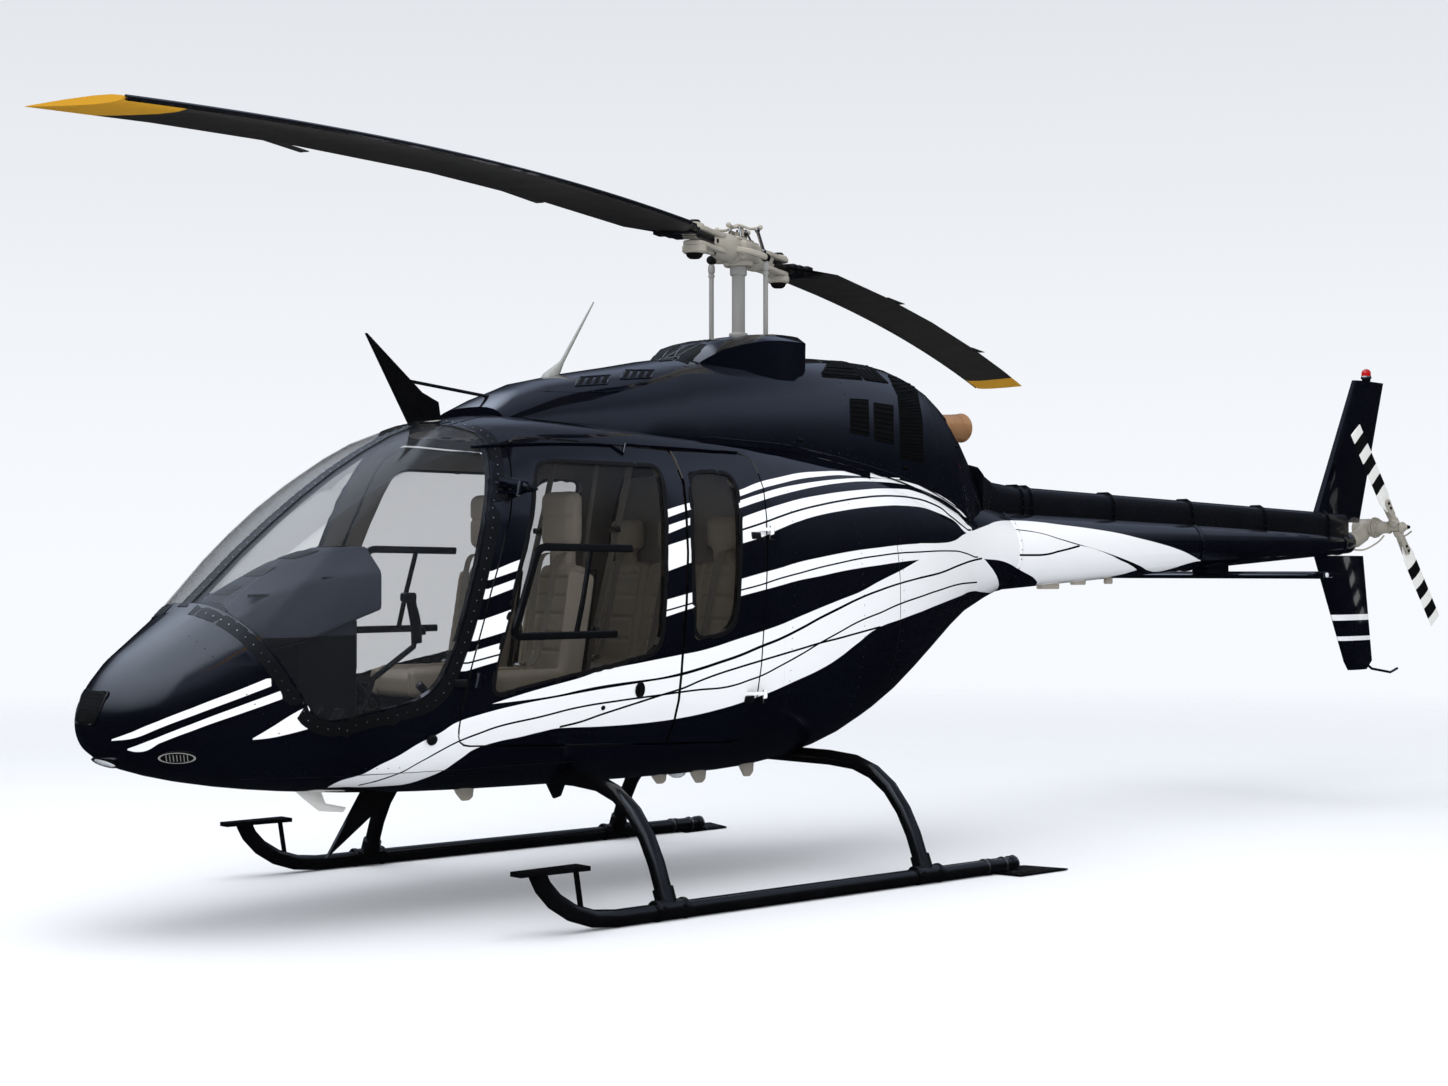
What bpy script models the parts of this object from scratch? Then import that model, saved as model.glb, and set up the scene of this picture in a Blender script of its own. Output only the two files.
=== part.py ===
"""Light single turbine helicopter on high skids, parked with its rotors stopped.

Metres, +Z up. The nose points along -Y and the port side is +X. All pieces are drawn
with the main rotor mast on the Z axis; at the end the whole aircraft is moved by
FRAME_SHIFT so that the middle of its overall box stands on the origin.
"""

import math

import bmesh
import bpy
from mathutils import Matrix, Vector

# Overall layout, measured from the main rotor mast
FRAME_SHIFT = -0.8287       # puts the middle of the overall box on the origin
GAP = 0.0003                # between pieces that are fastened together
SEAM = 0.008                # running gap round a door
WALL = 0.036                # thickness of the cabin wall and of the doors
GLASS = 0.005               # thickness of every pane
GLASS_INSET = 0.004         # how far a pane lies below the outer skin

# Fuselage sections: y, half width, bottom, top, height of the widest point,
# and how square the upper and lower halves are (2 is an ellipse)
SECTIONS = [
    (-3.600, 0.020, 0.850, 0.890, 0.870, 2.0, 2.0),
    (-3.550, 0.170, 0.750, 1.010, 0.870, 2.0, 2.0),
    (-3.420, 0.300, 0.680, 1.155, 0.875, 2.2, 2.1),
    (-3.180, 0.420, 0.615, 1.325, 0.890, 2.6, 2.2),
    (-2.900, 0.540, 0.570, 1.585, 0.930, 3.0, 2.4),
    (-2.600, 0.625, 0.540, 1.830, 1.000, 3.2, 2.6),
    (-2.300, 0.670, 0.520, 2.030, 1.080, 3.2, 2.8),
    (-2.000, 0.692, 0.508, 2.165, 1.120, 3.1, 2.8),
    (-1.600, 0.705, 0.500, 2.230, 1.150, 3.0, 2.8),
    (-1.000, 0.710, 0.495, 2.250, 1.150, 2.9, 2.8),
    (-0.400, 0.710, 0.500, 2.240, 1.170, 2.8, 2.8),
    (0.000, 0.690, 0.530, 2.220, 1.200, 2.7, 2.6),
    (0.400, 0.640, 0.615, 2.180, 1.280, 2.6, 2.4),
    (0.800, 0.550, 0.780, 2.110, 1.400, 2.5, 2.3),
    (1.200, 0.430, 1.020, 2.020, 1.500, 2.3, 2.2),
    (1.550, 0.320, 1.230, 1.930, 1.580, 2.2, 2.1),
    (1.950, 0.235, 1.380, 1.850, 1.615, 2.0, 2.0),
]
RING_POINTS = 36
SECTION_STEPS = 2           # rings between two sections

# Side view outlines: y, z and, where a third number is given, the corner's radius
NOSE_SEAM = [
    (-3.220, 1.380), (-3.145, 1.258), (-3.097, 1.166), (-2.983, 0.988), (-2.880, 0.860),
    (-2.816, 0.753), (-2.713, 0.624), (-2.660, 0.530),
]
WINDSHIELD = [
    (-3.150, 1.380), (-3.050, 1.235), (-2.985, 1.135), (-2.835, 0.868, 0.07), (-2.330, 0.968, 0.16),
    (-2.215, 1.235), (-2.085, 1.640), (-1.960, 1.990), (-1.925, 2.105, 0.05), (-2.015, 2.160),
    (-2.015, 2.700), (-3.600, 2.700),
]
DOOR_MEETING_LINE = [       # with half the gap between the doors, which widens where they curve in
    (-1.012, 0.700, 0.0075), (-1.000, 1.050, 0.0075), (-0.962, 1.440, 0.0075), (-0.935, 1.740, 0.0075),
    (-0.908, 1.920, 0.0090), (-0.918, 2.060, 0.0115),
]
FRONT_DOOR_EDGE = [
    (-1.640, 2.088), (-1.835, 2.088, 0.13), (-1.917, 1.776), (-2.058, 1.400), (-2.165, 1.060),
    (-2.200, 0.900), (-2.195, 0.752, 0.10),
]
REAR_DOOR_EDGE = [
    (-0.508, 0.684, 0.09), (-0.515, 0.916), (-0.483, 1.265), (-0.435, 1.690), (-0.400, 1.900),
    (-0.400, 2.060, 0.13),
]
FRONT_WINDOW = [
    (-2.062, 0.953, 0.09), (-1.120, 1.125, 0.12), (-1.080, 1.592), (-1.043, 1.863),
    (-1.030, 1.985, 0.07), (-1.740, 1.988, 0.06), (-1.814, 1.759), (-1.911, 1.493), (-2.030, 1.112),
]
REAR_WINDOW = [
    (-0.925, 1.168, 0.05), (-0.665, 1.215, 0.14), (-0.620, 1.550), (-0.586, 1.800),
    (-0.570, 1.965, 0.13), (-0.862, 1.965, 0.03), (-0.914, 1.640),
]
SILL_Z = 0.640              # seam between the lower hull and the cabin frame
ROOF_SEAM_Z = 2.020         # seam under the roof panel
FRAME_SEAM = [              # seam behind the windshield frame, through the front doorways
    (-2.100, 0.000), (-2.100, 1.000), (-1.780, 2.020), (-1.700, 3.000),
]
FLOOR_TOP = 0.665
FLOOR_THICKNESS = 0.025
BULKHEAD_Y = -0.340         # the cabin ends here, with the solid rear body behind it
FLOOR_FRONT_Y = -2.720
POST_HALF = 0.028           # half width of the post between the windshield panes

# Cowls on the roof: y, half width, base height, top, squareness
COWL_SECTIONS = [
    (-1.700, 0.300, 2.120, 2.255, 2.8),
    (-1.400, 0.390, 2.060, 2.390, 2.5),
    (-0.900, 0.455, 2.030, 2.490, 2.4),
    (-0.500, 0.480, 1.990, 2.560, 2.4),
    (0.000, 0.490, 1.960, 2.600, 2.4),
    (0.400, 0.480, 1.900, 2.620, 2.4),
    (0.800, 0.450, 1.840, 2.615, 2.4),
    (1.100, 0.410, 1.780, 2.560, 2.4),
    (1.350, 0.350, 1.740, 2.440, 2.3),
    (1.530, 0.275, 1.700, 2.270, 2.2),
    (1.680, 0.200, 1.700, 2.100, 2.1),
]
COWL_WALL = 0.012
COWL_SPLITS = (-0.640, 0.490)   # forward, transmission and engine cowls

# Fairing round the mast: y, half width at the base, half width on top, top
FAIRING_SECTIONS = [
    (-0.500, 0.150, 0.130, 2.540),
    (-0.350, 0.250, 0.210, 2.640),
    (-0.120, 0.345, 0.268, 2.694),
    (0.060, 0.368, 0.272, 2.704),
    (0.190, 0.305, 0.242, 2.704),
]
FAIRING_BASE_Z = 2.300
WELL_RADIUS = 0.245

# Rotors
HUB_Z = 3.141
ROTOR_RADIUS = 5.300
ROTOR_CHORD = 0.350
ROTOR_BEARING = 26.5        # degrees from the nose to the port blade
ROTOR_DROOP = 0.280
BLADE_ROOT = 0.440
BLADE_BOLT = 0.600
BLADE_ROOT_THICKNESS = 0.050
MAST_RADIUS = 0.034
MAST_BOTTOM = 2.430
HUB_BOTTOM = 3.070
LINK_RADIUS = 0.0125
LINK_CIRCLE = 0.150
HORN_Z = 3.092
SWASH_Z = 2.560
TAIL_HUB = Vector((0.235, 5.930, 1.796))
TAIL_RADIUS = 0.825
TAIL_CHORD = 0.135
TAIL_BEARING = 128.0        # degrees of the upper blade above the +Y direction

# Tail: the boom tapers between two circles, and its shaft cover runs along the top
BOOM_START = (1.9503, 1.615, 0.234)     # y, height of the centre, radius
BOOM_END = (5.690, 1.688, 0.072)
COVER = [                               # y, half width, top
    (1.6853, 0.190, 2.095), (1.780, 0.140, 2.050), (1.900, 0.105, 2.005),
    (2.100, 0.088, 1.985), (5.600, 0.070, 1.885),
]
UPPER_FIN = [                           # leading edge y, z, chord, thickness
    (5.255, 1.830, 0.585, 0.074), (5.768, 2.817, 0.390, 0.050),
]
BEACON = (0.0, 5.940, 2.817)            # foot of the light on top of the fin
LOWER_FIN = [
    (5.290, 1.600, 0.600, 0.070), (5.650, 0.870, 0.350, 0.046), (5.700, 0.810, 0.230, 0.034),
]
STABILIZER_Y, STABILIZER_Z = 3.960, 1.470
STABILIZER_CHORD, STABILIZER_HALF = 0.480, 0.830
TAIL_SKID = [(5.860, 0.880), (6.000, 0.812), (6.240, 0.780), (6.330, 0.805)]

# Landing gear
TUBE_R = 0.038
TRACK_HALF = 1.180
FRONT_SADDLE_Y, REAR_SADDLE_Y = -1.480, 0.140
SKID_END_Y = 0.780
SKID_TOE = [                            # y, z ahead of the straight run
    (-1.780, 0.038), (-1.900, 0.050), (-2.010, 0.086), (-2.100, 0.142),
    (-2.160, 0.205), (-2.190, 0.262),
]
CROSS_TUBE = [                          # x, z
    (0.000, 0.562), (0.520, 0.562), (0.700, 0.550), (0.830, 0.510), (0.940, 0.440),
    (1.030, 0.340), (1.095, 0.230), (1.136, 0.130),
]

# Cabin fittings, in side view
SEAT_X, SEAT_WIDTH = 0.285, 0.400
SEAT_SIDE = [
    (-1.960, 0.905), (-1.970, 1.020), (-1.930, 1.065), (-1.500, 1.035), (-1.425, 1.520),
    (-1.395, 1.580), (-1.330, 1.580), (-1.300, 1.500), (-1.380, 0.960), (-1.420, 0.900),
]
HEADREST_SIDE = [
    (-1.405, 1.540), (-1.428, 1.620), (-1.425, 1.830), (-1.390, 1.885), (-1.345, 1.885), (-1.318, 1.830),
    (-1.312, 1.540),
]
HEADREST_HALF = 0.130
BENCH_SIDE = [
    (-0.980, 0.905), (-0.990, 1.010), (-0.950, 1.050), (-0.560, 1.025), (-0.500, 1.500),
    (-0.465, 1.580), (-0.400, 1.580), (-0.375, 1.500), (-0.372, 0.960), (-0.400, 0.900),
]
BENCH_HEADREST_SIDE = [
    (-0.475, 1.540), (-0.485, 1.620), (-0.480, 1.740), (-0.450, 1.780), (-0.405, 1.780), (-0.380, 1.730),
    (-0.378, 1.540),
]
BENCH_HEADRESTS = (-0.380, 0.000, 0.380)
BENCH_HEADREST_HALF = 0.110
HOOD = [                    # y, height of the underside, of the edge along each side, and of the crown
    (-3.030, 1.150, 1.290, 1.365),
    (-2.870, 1.160, 1.400, 1.450),
    (-2.700, 1.190, 1.450, 1.535),
    (-2.480, 1.270, 1.480, 1.600),
    (-2.320, 1.325, 1.492, 1.605),
]
HOOD_HALF = 0.230
CROWN_HALF = 0.100
PEDESTAL_SIDE = [(-2.680, 0.6653), (-2.660, 1.235), (-2.380, 1.330), (-2.375, 0.6653)]
PEDESTAL_HALF = 0.130
CYCLIC = [
    (-2.300, 0.6653), (-2.300, 0.690), (-2.305, 0.715), (-2.440, 0.900), (-2.400, 1.030), (-2.190, 1.165),
    (-2.180, 1.240), (-2.200, 1.365),
]

COLOURS = {
    "navy_paint": ((0.008, 0.010, 0.020), 0.18, 0.0),
    "black_paint": ((0.010, 0.010, 0.012), 0.35, 0.0),
    "blade_paint": ((0.060, 0.060, 0.062), 0.45, 0.0),
    "white_paint": ((0.820, 0.820, 0.800), 0.35, 0.0),
    "grey_metal": ((0.560, 0.545, 0.500), 0.38, 0.6),
    "dark_plastic": ((0.030, 0.031, 0.034), 0.60, 0.0),
    "seat_leather": ((0.230, 0.200, 0.165), 0.55, 0.0),
    "floor_cover": ((0.045, 0.042, 0.040), 0.85, 0.0),
    "tinted_glass": ((0.120, 0.130, 0.140), 0.05, 0.0),
    "bronze_metal": ((0.420, 0.270, 0.150), 0.30, 1.0),
    "red_lens": ((0.700, 0.030, 0.020), 0.20, 0.0),
}


def clear_scene():
    for obj in list(bpy.data.objects):
        bpy.data.objects.remove(obj, do_unlink=True)


def surface(name):
    found = bpy.data.materials.get(name)
    if found:
        return found
    colour, roughness, metallic = COLOURS[name]
    made = bpy.data.materials.new(name)
    made.use_nodes = True
    shader = made.node_tree.nodes["Principled BSDF"]
    shader.inputs["Base Color"].default_value = (*colour, 1.0)
    shader.inputs["Roughness"].default_value = roughness
    shader.inputs["Metallic"].default_value = metallic
    return made


def add_object(name, mesh_builder, finish="navy_paint"):
    """A mesh object from a bmesh, with its normals facing out."""
    bmesh.ops.recalc_face_normals(mesh_builder, faces=mesh_builder.faces)
    mesh = bpy.data.meshes.new(name)
    mesh_builder.to_mesh(mesh)
    mesh_builder.free()
    obj = bpy.data.objects.new(name, mesh)
    bpy.context.collection.objects.link(obj)
    obj.data.materials.append(surface(finish))
    return obj


def combine(target, tool, operation):
    """Applies one exact Boolean and removes the tool."""
    modifier = target.modifiers.new(operation.lower(), "BOOLEAN")
    modifier.operation = operation
    modifier.solver = "EXACT"
    modifier.object = tool
    bpy.context.view_layer.update()
    graph = bpy.context.evaluated_depsgraph_get()
    result = bpy.data.meshes.new_from_object(target.evaluated_get(graph))
    target.modifiers.remove(modifier)
    old = target.data
    target.data = result
    bpy.data.meshes.remove(old)
    bpy.data.objects.remove(tool, do_unlink=True)
    return target


def copy_of(obj, name):
    twin = obj.copy()
    twin.data = obj.data.copy()
    twin.name = name
    bpy.context.collection.objects.link(twin)
    return twin


def mirrored(obj, name):
    """The same piece on the starboard side."""
    twin = copy_of(obj, name)
    builder = bmesh.new()
    builder.from_mesh(twin.data)
    bmesh.ops.scale(builder, vec=(-1.0, 1.0, 1.0), verts=builder.verts)
    bmesh.ops.recalc_face_normals(builder, faces=builder.faces)
    builder.to_mesh(twin.data)
    builder.free()
    return twin


def remove(*objects):
    for obj in objects:
        bpy.data.objects.remove(obj, do_unlink=True)


def swollen(obj, distance):
    """A copy of a piece that is larger all round by a small distance, as a cutter for its neighbours."""
    twin = copy_of(obj, "swollen")
    builder = bmesh.new()
    builder.from_mesh(twin.data)
    bmesh.ops.triangulate(builder, faces=builder.faces)
    builder.normal_update()
    for vert, normal in [(vert, vert.normal.copy()) for vert in builder.verts]:
        vert.co += normal * distance
    builder.to_mesh(twin.data)
    builder.free()
    return twin


def fit_against(piece, *neighbours):
    """Trims a piece to its neighbours and leaves a thin gap."""
    for neighbour in neighbours:
        combine(piece, swollen(neighbour, 1.5 * GAP), "DIFFERENCE")
    return piece


# Outlines and curves

def rounded(outline, steps=4):
    """The outline with an arc at each corner that gives a radius."""
    points = []
    for i, corner in enumerate(outline):
        here = Vector(corner[:2])
        if len(corner) == 2:
            points.append(tuple(here))
            continue
        back = Vector(outline[i - 1][:2]) - here
        ahead = Vector(outline[(i + 1) % len(outline)][:2]) - here
        cut = min(corner[2], 0.48 * back.length, 0.48 * ahead.length)
        start = here + back.normalized() * cut
        end = here + ahead.normalized() * cut
        for k in range(steps + 1):
            t = k / steps
            points.append(tuple(start * (1 - t) ** 2 + here * (2 * t * (1 - t)) + end * t ** 2))
    return points


def shifted(line, along_y):
    return [(point[0] + along_y, *point[1:]) for point in line]


def grown(outline, distance):
    """The outline moved outwards by this distance, or inwards if it is negative."""
    area = sum(a[0] * b[1] - b[0] * a[1] for a, b in zip(outline, outline[1:] + outline[:1]))
    turn = 1.0 if area > 0 else -1.0
    moved = []
    count = len(outline)
    for i, corner in enumerate(outline):
        here = Vector(corner)
        before = (here - Vector(outline[i - 1])).normalized()
        after = (Vector(outline[(i + 1) % count]) - here).normalized()
        normal = Vector((before.y + after.y, -before.x - after.x)).normalized() * turn
        lean = max(0.4, Vector((before.y, -before.x)).dot(normal) * turn)
        moved.append(tuple(here + normal * (distance / lean)))
    return moved


def flowing(rows, steps):
    """Rows of numbers with more rows between them, along a Catmull-Rom curve."""
    found = []
    for i in range(len(rows) - 1):
        a = rows[max(i - 1, 0)]
        b, c = rows[i], rows[i + 1]
        d = rows[min(i + 2, len(rows) - 1)]
        for k in range(steps):
            t = k / steps
            found.append(tuple(
                0.5 * (2 * q + (r - p) * t + (2 * p - 5 * q + 4 * r - s) * t ** 2
                       + (3 * q - p - 3 * r + s) * t ** 3)
                for p, q, r, s in zip(a, b, c, d)))
    found.append(rows[-1])
    return found


# Solids

def loft(name, rings, finish="navy_paint"):
    """A closed solid through rings that have equal numbers of points."""
    builder = bmesh.new()
    rows = [[builder.verts.new(point) for point in ring] for ring in rings]
    for low, high in zip(rows, rows[1:]):
        for i in range(len(low)):
            j = (i + 1) % len(low)
            builder.faces.new((low[i], low[j], high[j], high[i]))
    bmesh.ops.triangulate(builder, faces=builder.faces)
    builder.faces.new(rows[0])
    builder.faces.new(rows[-1])
    return add_object(name, builder, finish)


def prism(name, outline, low, high, axis="x", finish="navy_paint"):
    """An outline pushed along one axis. The outline's numbers are the other two axes."""
    def place(point, along):
        a, b = point
        return {"x": (along, a, b), "y": (a, along, b), "z": (a, b, along)}[axis]
    return loft(name, [[place(p, low) for p in outline], [place(p, high) for p in outline]], finish)


def box(name, low, high, finish="navy_paint"):
    outline = [(low[1], low[2]), (high[1], low[2]), (high[1], high[2]), (low[1], high[2])]
    return prism(name, outline, low[0], high[0], "x", finish)


def frames_along(points):
    """A direction and two cross directions at each point of a path, without twist."""
    points = [Vector(point) for point in points]
    tangents = []
    for i in range(len(points)):
        ahead = points[min(i + 1, len(points) - 1)] - points[max(i - 1, 0)]
        tangents.append(ahead.normalized())
    side = tangents[0].orthogonal().normalized()
    frames = []
    for point, tangent in zip(points, tangents):
        side = (side - tangent * side.dot(tangent)).normalized()
        frames.append((point, side, tangent.cross(side)))
    return frames


def tube(name, points, radii, sides=12, finish="navy_paint"):
    """A round bar along a path. The radius is one number or one for each point."""
    if isinstance(radii, (int, float)):
        radii = [radii] * len(points)
    rings = []
    for (centre, side, up), radius in zip(frames_along(points), radii):
        rings.append([
            centre + side * (radius * math.cos(math.tau * k / sides))
            + up * (radius * math.sin(math.tau * k / sides)) for k in range(sides)])
    return loft(name, rings, finish)


def wing(name, stations, finish="navy_paint"):
    """A solid through airfoil sections: leading edge, chord vector and thickness vector."""
    shape = [(0.00, 0.0), (0.03, 0.55), (0.12, 0.90), (0.30, 1.0), (0.60, 0.72), (1.00, 0.06)]
    rings = []
    for edge, chord, thick in stations:
        edge, chord, thick = Vector(edge), Vector(chord), Vector(thick)
        upper = [edge + chord * a + thick * (0.5 * b) for a, b in shape]
        lower = [edge + chord * a - thick * (0.5 * b) for a, b in reversed(shape[1:])]
        rings.append(upper + lower)
    return loft(name, rings, finish)


# Fuselage

def section_ring(y, half, bottom, top, middle, upper, lower):
    ring = []
    for k in range(RING_POINTS):
        angle = math.tau * (k + 0.5) / RING_POINTS
        c, s = math.cos(angle), math.sin(angle)
        power = 2.0 / (upper if s > 0 else lower)
        height = (top - middle) if s > 0 else (middle - bottom)
        ring.append((
            half * math.copysign(abs(c) ** power, c), y,
            middle + height * math.copysign(abs(s) ** power, s)))
    return ring


def body_loft(name, inset=0.0, first=-9.0, last=9.0, finish="navy_paint"):
    """The fuselage form, smaller all round by the inset, between two cross planes."""
    rings = []
    for y, half, bottom, top, middle, upper, lower in flowing(SECTIONS, SECTION_STEPS):
        blunt = max(0.0, 1.0 - half / SECTIONS[6][1])
        y = y + inset * blunt
        half = half - inset
        if half < 0.01 or not first <= y <= last:
            continue
        rings.append(section_ring(
            y, half, bottom + inset, top - inset, middle, upper, lower))
    return loft(name, rings, finish)


def nose_side(name, ahead):
    """A cutter for what lies ahead of the nose seam, or behind it."""
    if ahead:
        outline = [(-4.200, 3.200), *NOSE_SEAM, (-2.660, 0.000), (-4.500, 0.000), (-4.500, 3.200)]
    else:
        outline = [
            (-4.200 + GAP, 3.200), *shifted(NOSE_SEAM, GAP), (-2.660 + GAP, 0.000), (3.000, 0.000),
            (3.000, 3.200)]
    return prism(name, outline, -1.5, 1.5)


def make_nose():
    nose = body_loft("nose_cowl")
    return combine(nose, nose_side("nose_side", True), "INTERSECT")


def make_cabin_shell():
    """The hollow cabin wall between the nose seam and the bulkhead, before the openings."""
    shell = body_loft("cabin_side_port")
    combine(shell, nose_side("cabin_side", False), "INTERSECT")
    combine(shell, box("cabin_length", (-1, -4, 0), (1, BULKHEAD_Y, 3)), "INTERSECT")
    return combine(shell, body_loft("cabin_space", WALL, -9.0, 0.5), "DIFFERENCE")


def pane(name, outline, low, high):
    """A glass pane that fills an opening cut by the same outline."""
    glass = body_loft(name, GLASS_INSET, finish="tinted_glass")
    combine(glass, prism("pane_side", grown(outline, -GAP), low + GAP, high - GAP), "INTERSECT")
    return combine(glass, body_loft("pane_inner", GLASS_INSET + GLASS), "DIFFERENCE")


def cut_from(source, name, outline, low, high, opening=None):
    """The piece of the cabin wall inside an outline, with its window cut."""
    piece = copy_of(source, name)
    combine(piece, prism("piece_side", outline, low, high), "INTERSECT")
    if opening:
        combine(piece, prism("window_side", opening, low, high), "DIFFERENCE")
    return piece


# Door hinges: the axis leans with the body side and stands clear of its bulge

FRONT_AXIS = (Vector((0.735, -2.185, 0.950)), Vector((0.668, -1.893, 1.880)))
REAR_AXIS = (Vector((0.752, -0.520, 0.850)), Vector((0.684, -0.394, 1.900)))
FRONT_HINGES, REAR_HINGES = (1.030, 1.855), (0.900, 1.680)
KNUCKLE_R = 0.012
KNUCKLE_LENGTH = 0.032
RABBET_DEPTH, RABBET_WIDTH = 0.008, 0.012


def axis_point(axis, z):
    low, high = axis
    return low + (high - low) * ((z - low.z) / (high.z - low.z))


def side_x(y, z):
    """Half width of the body at a height, from the section formula."""
    row = min(flowing(SECTIONS, 8), key=lambda found: abs(found[0] - y))
    _, half, bottom, top, middle, upper, lower = row
    span, power = (top - middle, upper) if z > middle else (middle - bottom, lower)
    share = min(1.0, abs(z - middle) / span)
    return half * (1.0 - share ** power) ** (1.0 / power)


def hinge_arm(name, axis, z, side):
    """A knuckle on the axis and its arm, which runs ahead of the axis (-1) or behind it (1)."""
    along = (axis[1] - axis[0]).normalized()
    centre = axis_point(axis, z)
    reach = along * (KNUCKLE_LENGTH / 2)
    knuckle = tube(name, [centre - reach, centre + reach], KNUCKLE_R, 12)
    foot_y = centre.y + side * 0.055
    foot_x = side_x(foot_y, z) - 0.016
    plan = [
        (centre.x + 0.006, centre.y - side * 0.004), (centre.x - 0.006, centre.y - side * 0.004),
        (foot_x, foot_y - side * 0.022), (foot_x, foot_y + side * 0.030),
        (centre.x - 0.002, centre.y + side * 0.030),
    ]
    half = KNUCKLE_LENGTH / 2 - 0.008
    return combine(knuckle, prism("arm", plan, centre.z - half, centre.z + half, "z"), "UNION")


def add_hinges(door, frame, axis, heights, door_side, mirror=False):
    """Each hinge has a knuckle on the door just above one on the frame."""
    step = (KNUCKLE_LENGTH + GAP) / 2 * (axis[1] - axis[0]).normalized().z
    for z in heights:
        for host, offset, side in ((door, step, door_side), (frame, -step, -door_side)):
            arm = hinge_arm("knuckle", axis, z + offset, side)
            if mirror:
                twin = mirrored(arm, "starboard_knuckle")
                remove(arm)
                arm = twin
            combine(host, arm, "UNION")


def meeting_edge(way):
    """The line where the port doors meet, moved to the front door's side (-1) or the rear door's (1)."""
    return [(y + way * half_gap, z) for y, z, half_gap in DOOR_MEETING_LINE]


def rabbet(door, outline):
    """Cuts back the inner corner all round a door, so that it clears what is beside it as it swings."""
    core = body_loft("core", RABBET_DEPTH)
    combine(core, prism("inside", grown(outline, -RABBET_WIDTH), 0.1, 1.3), "DIFFERENCE")
    combine(core, prism("outside", grown(outline, 0.020), 0.2, 1.2), "INTERSECT")
    return combine(door, core, "DIFFERENCE")


def split_frame(shell):
    """Parts the cabin wall at its seams into roof, windshield frame and the two sides."""
    roof = copy_of(shell, "cabin_roof")
    combine(roof, box("above_seam", (-1, -4, ROOF_SEAM_Z + GAP), (1, 1, 3)), "INTERSECT")
    combine(shell, box("below_seam", (-1, -4, 0), (1, 1, ROOF_SEAM_Z)), "INTERSECT")
    front = copy_of(shell, "windshield_frame")
    ahead = [(-4.000, 0.000), *FRAME_SEAM, (-4.000, 3.000)]
    behind = [(1.000, 0.000), *shifted(FRAME_SEAM, GAP), (1.000, 3.000)]
    combine(front, prism("ahead_of_seam", ahead, -1.5, 1.5), "INTERSECT")
    combine(shell, prism("behind_seam", behind, -1.5, 1.5), "INTERSECT")
    starboard = copy_of(shell, "cabin_side_starboard")
    combine(starboard, box("starboard_half", (-1, -4, 0), (0, 1, 3)), "INTERSECT")
    combine(shell, box("port_half", (0, -4, 0), (1, 1, 3)), "INTERSECT")
    return roof, front, starboard


def make_cabin():
    """Cabin frame, lower hull, doors and panes, all cut from one wall."""
    shell = make_cabin_shell()
    middle = meeting_edge(0)
    front = rounded(meeting_edge(-1) + FRONT_DOOR_EDGE)
    rear = rounded(meeting_edge(1)[::-1] + REAR_DOOR_EDGE)
    both = rounded(middle[:1] + REAR_DOOR_EDGE + middle[-1:] + FRONT_DOOR_EDGE)
    front_window, rear_window = rounded(FRONT_WINDOW), rounded(REAR_WINDOW)
    screen = rounded(WINDSHIELD)

    front_port = cut_from(shell, "door_front_port", front, 0.2, 1.2, front_window)
    rear_port = cut_from(shell, "door_rear_port", rear, 0.2, 1.2, rear_window)
    rabbet(front_port, front)
    rabbet(rear_port, rear)
    front_starboard = mirrored(front_port, "door_front_starboard")
    pane("windshield_port", screen, POST_HALF, 1.2)
    pane("windshield_starboard", screen, -1.2, -POST_HALF)
    glass = pane("window_front_port", front_window, 0.2, 1.2)
    mirrored(glass, "window_front_starboard")
    glass = pane("window_rear_port", rear_window, 0.2, 1.2)
    mirrored(glass, "window_rear_starboard")

    combine(shell, prism("screen_port", screen, POST_HALF, 1.2), "DIFFERENCE")
    combine(shell, prism("screen_starboard", screen, -1.2, -POST_HALF), "DIFFERENCE")
    combine(shell, prism("port_doorway", grown(both, SEAM), 0.2, 1.2), "DIFFERENCE")
    combine(shell, prism("starboard_doorway", grown(front, SEAM), -1.2, -0.2), "DIFFERENCE")
    combine(shell, prism("starboard_window", rear_window, -1.2, -0.2), "DIFFERENCE")
    hull = copy_of(shell, "lower_hull")
    combine(hull, box("below_sill", (-1, -4, 0), (1, 1, SILL_Z)), "INTERSECT")
    combine(shell, box("above_sill", (-1, -4, SILL_Z + GAP), (1, 1, 3)), "INTERSECT")

    add_hinges(front_port, shell, FRONT_AXIS, FRONT_HINGES, 1)
    add_hinges(front_starboard, shell, FRONT_AXIS, FRONT_HINGES, 1, mirror=True)
    add_hinges(rear_port, shell, REAR_AXIS, REAR_HINGES, -1)
    combine(shell, box("behind_bulkhead", (-1, BULKHEAD_Y, 0), (1, 1, 3)), "DIFFERENCE")
    return hull, shell, *split_frame(shell)


def make_rear_body():
    body = body_loft("rear_fuselage")
    return combine(body, box("behind_cabin", (-1, BULKHEAD_Y + GAP, 0), (1, 2.5, 3)), "INTERSECT")


# Cowls, mast fairing and engine

def cowl_ring(y, half, base, top, power, inset=0.0):
    """An arch from side to side, closed by a flat base."""
    half, top = half - inset, top - inset
    ring = []
    steps = 16
    for k in range(steps + 1):
        angle = math.pi * k / steps
        c, s = math.cos(angle), math.sin(angle)
        ring.append((half * math.copysign(abs(c) ** (2 / power), c), y, base + (top - base) * s ** (2 / power)))
    return ring


def cowl_loft(name, inset=0.0, low=-9.0, high=9.0):
    rings = [cowl_ring(*row, inset) for row in flowing(COWL_SECTIONS, 2) if low <= row[0] <= high]
    return loft(name, rings)


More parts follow.
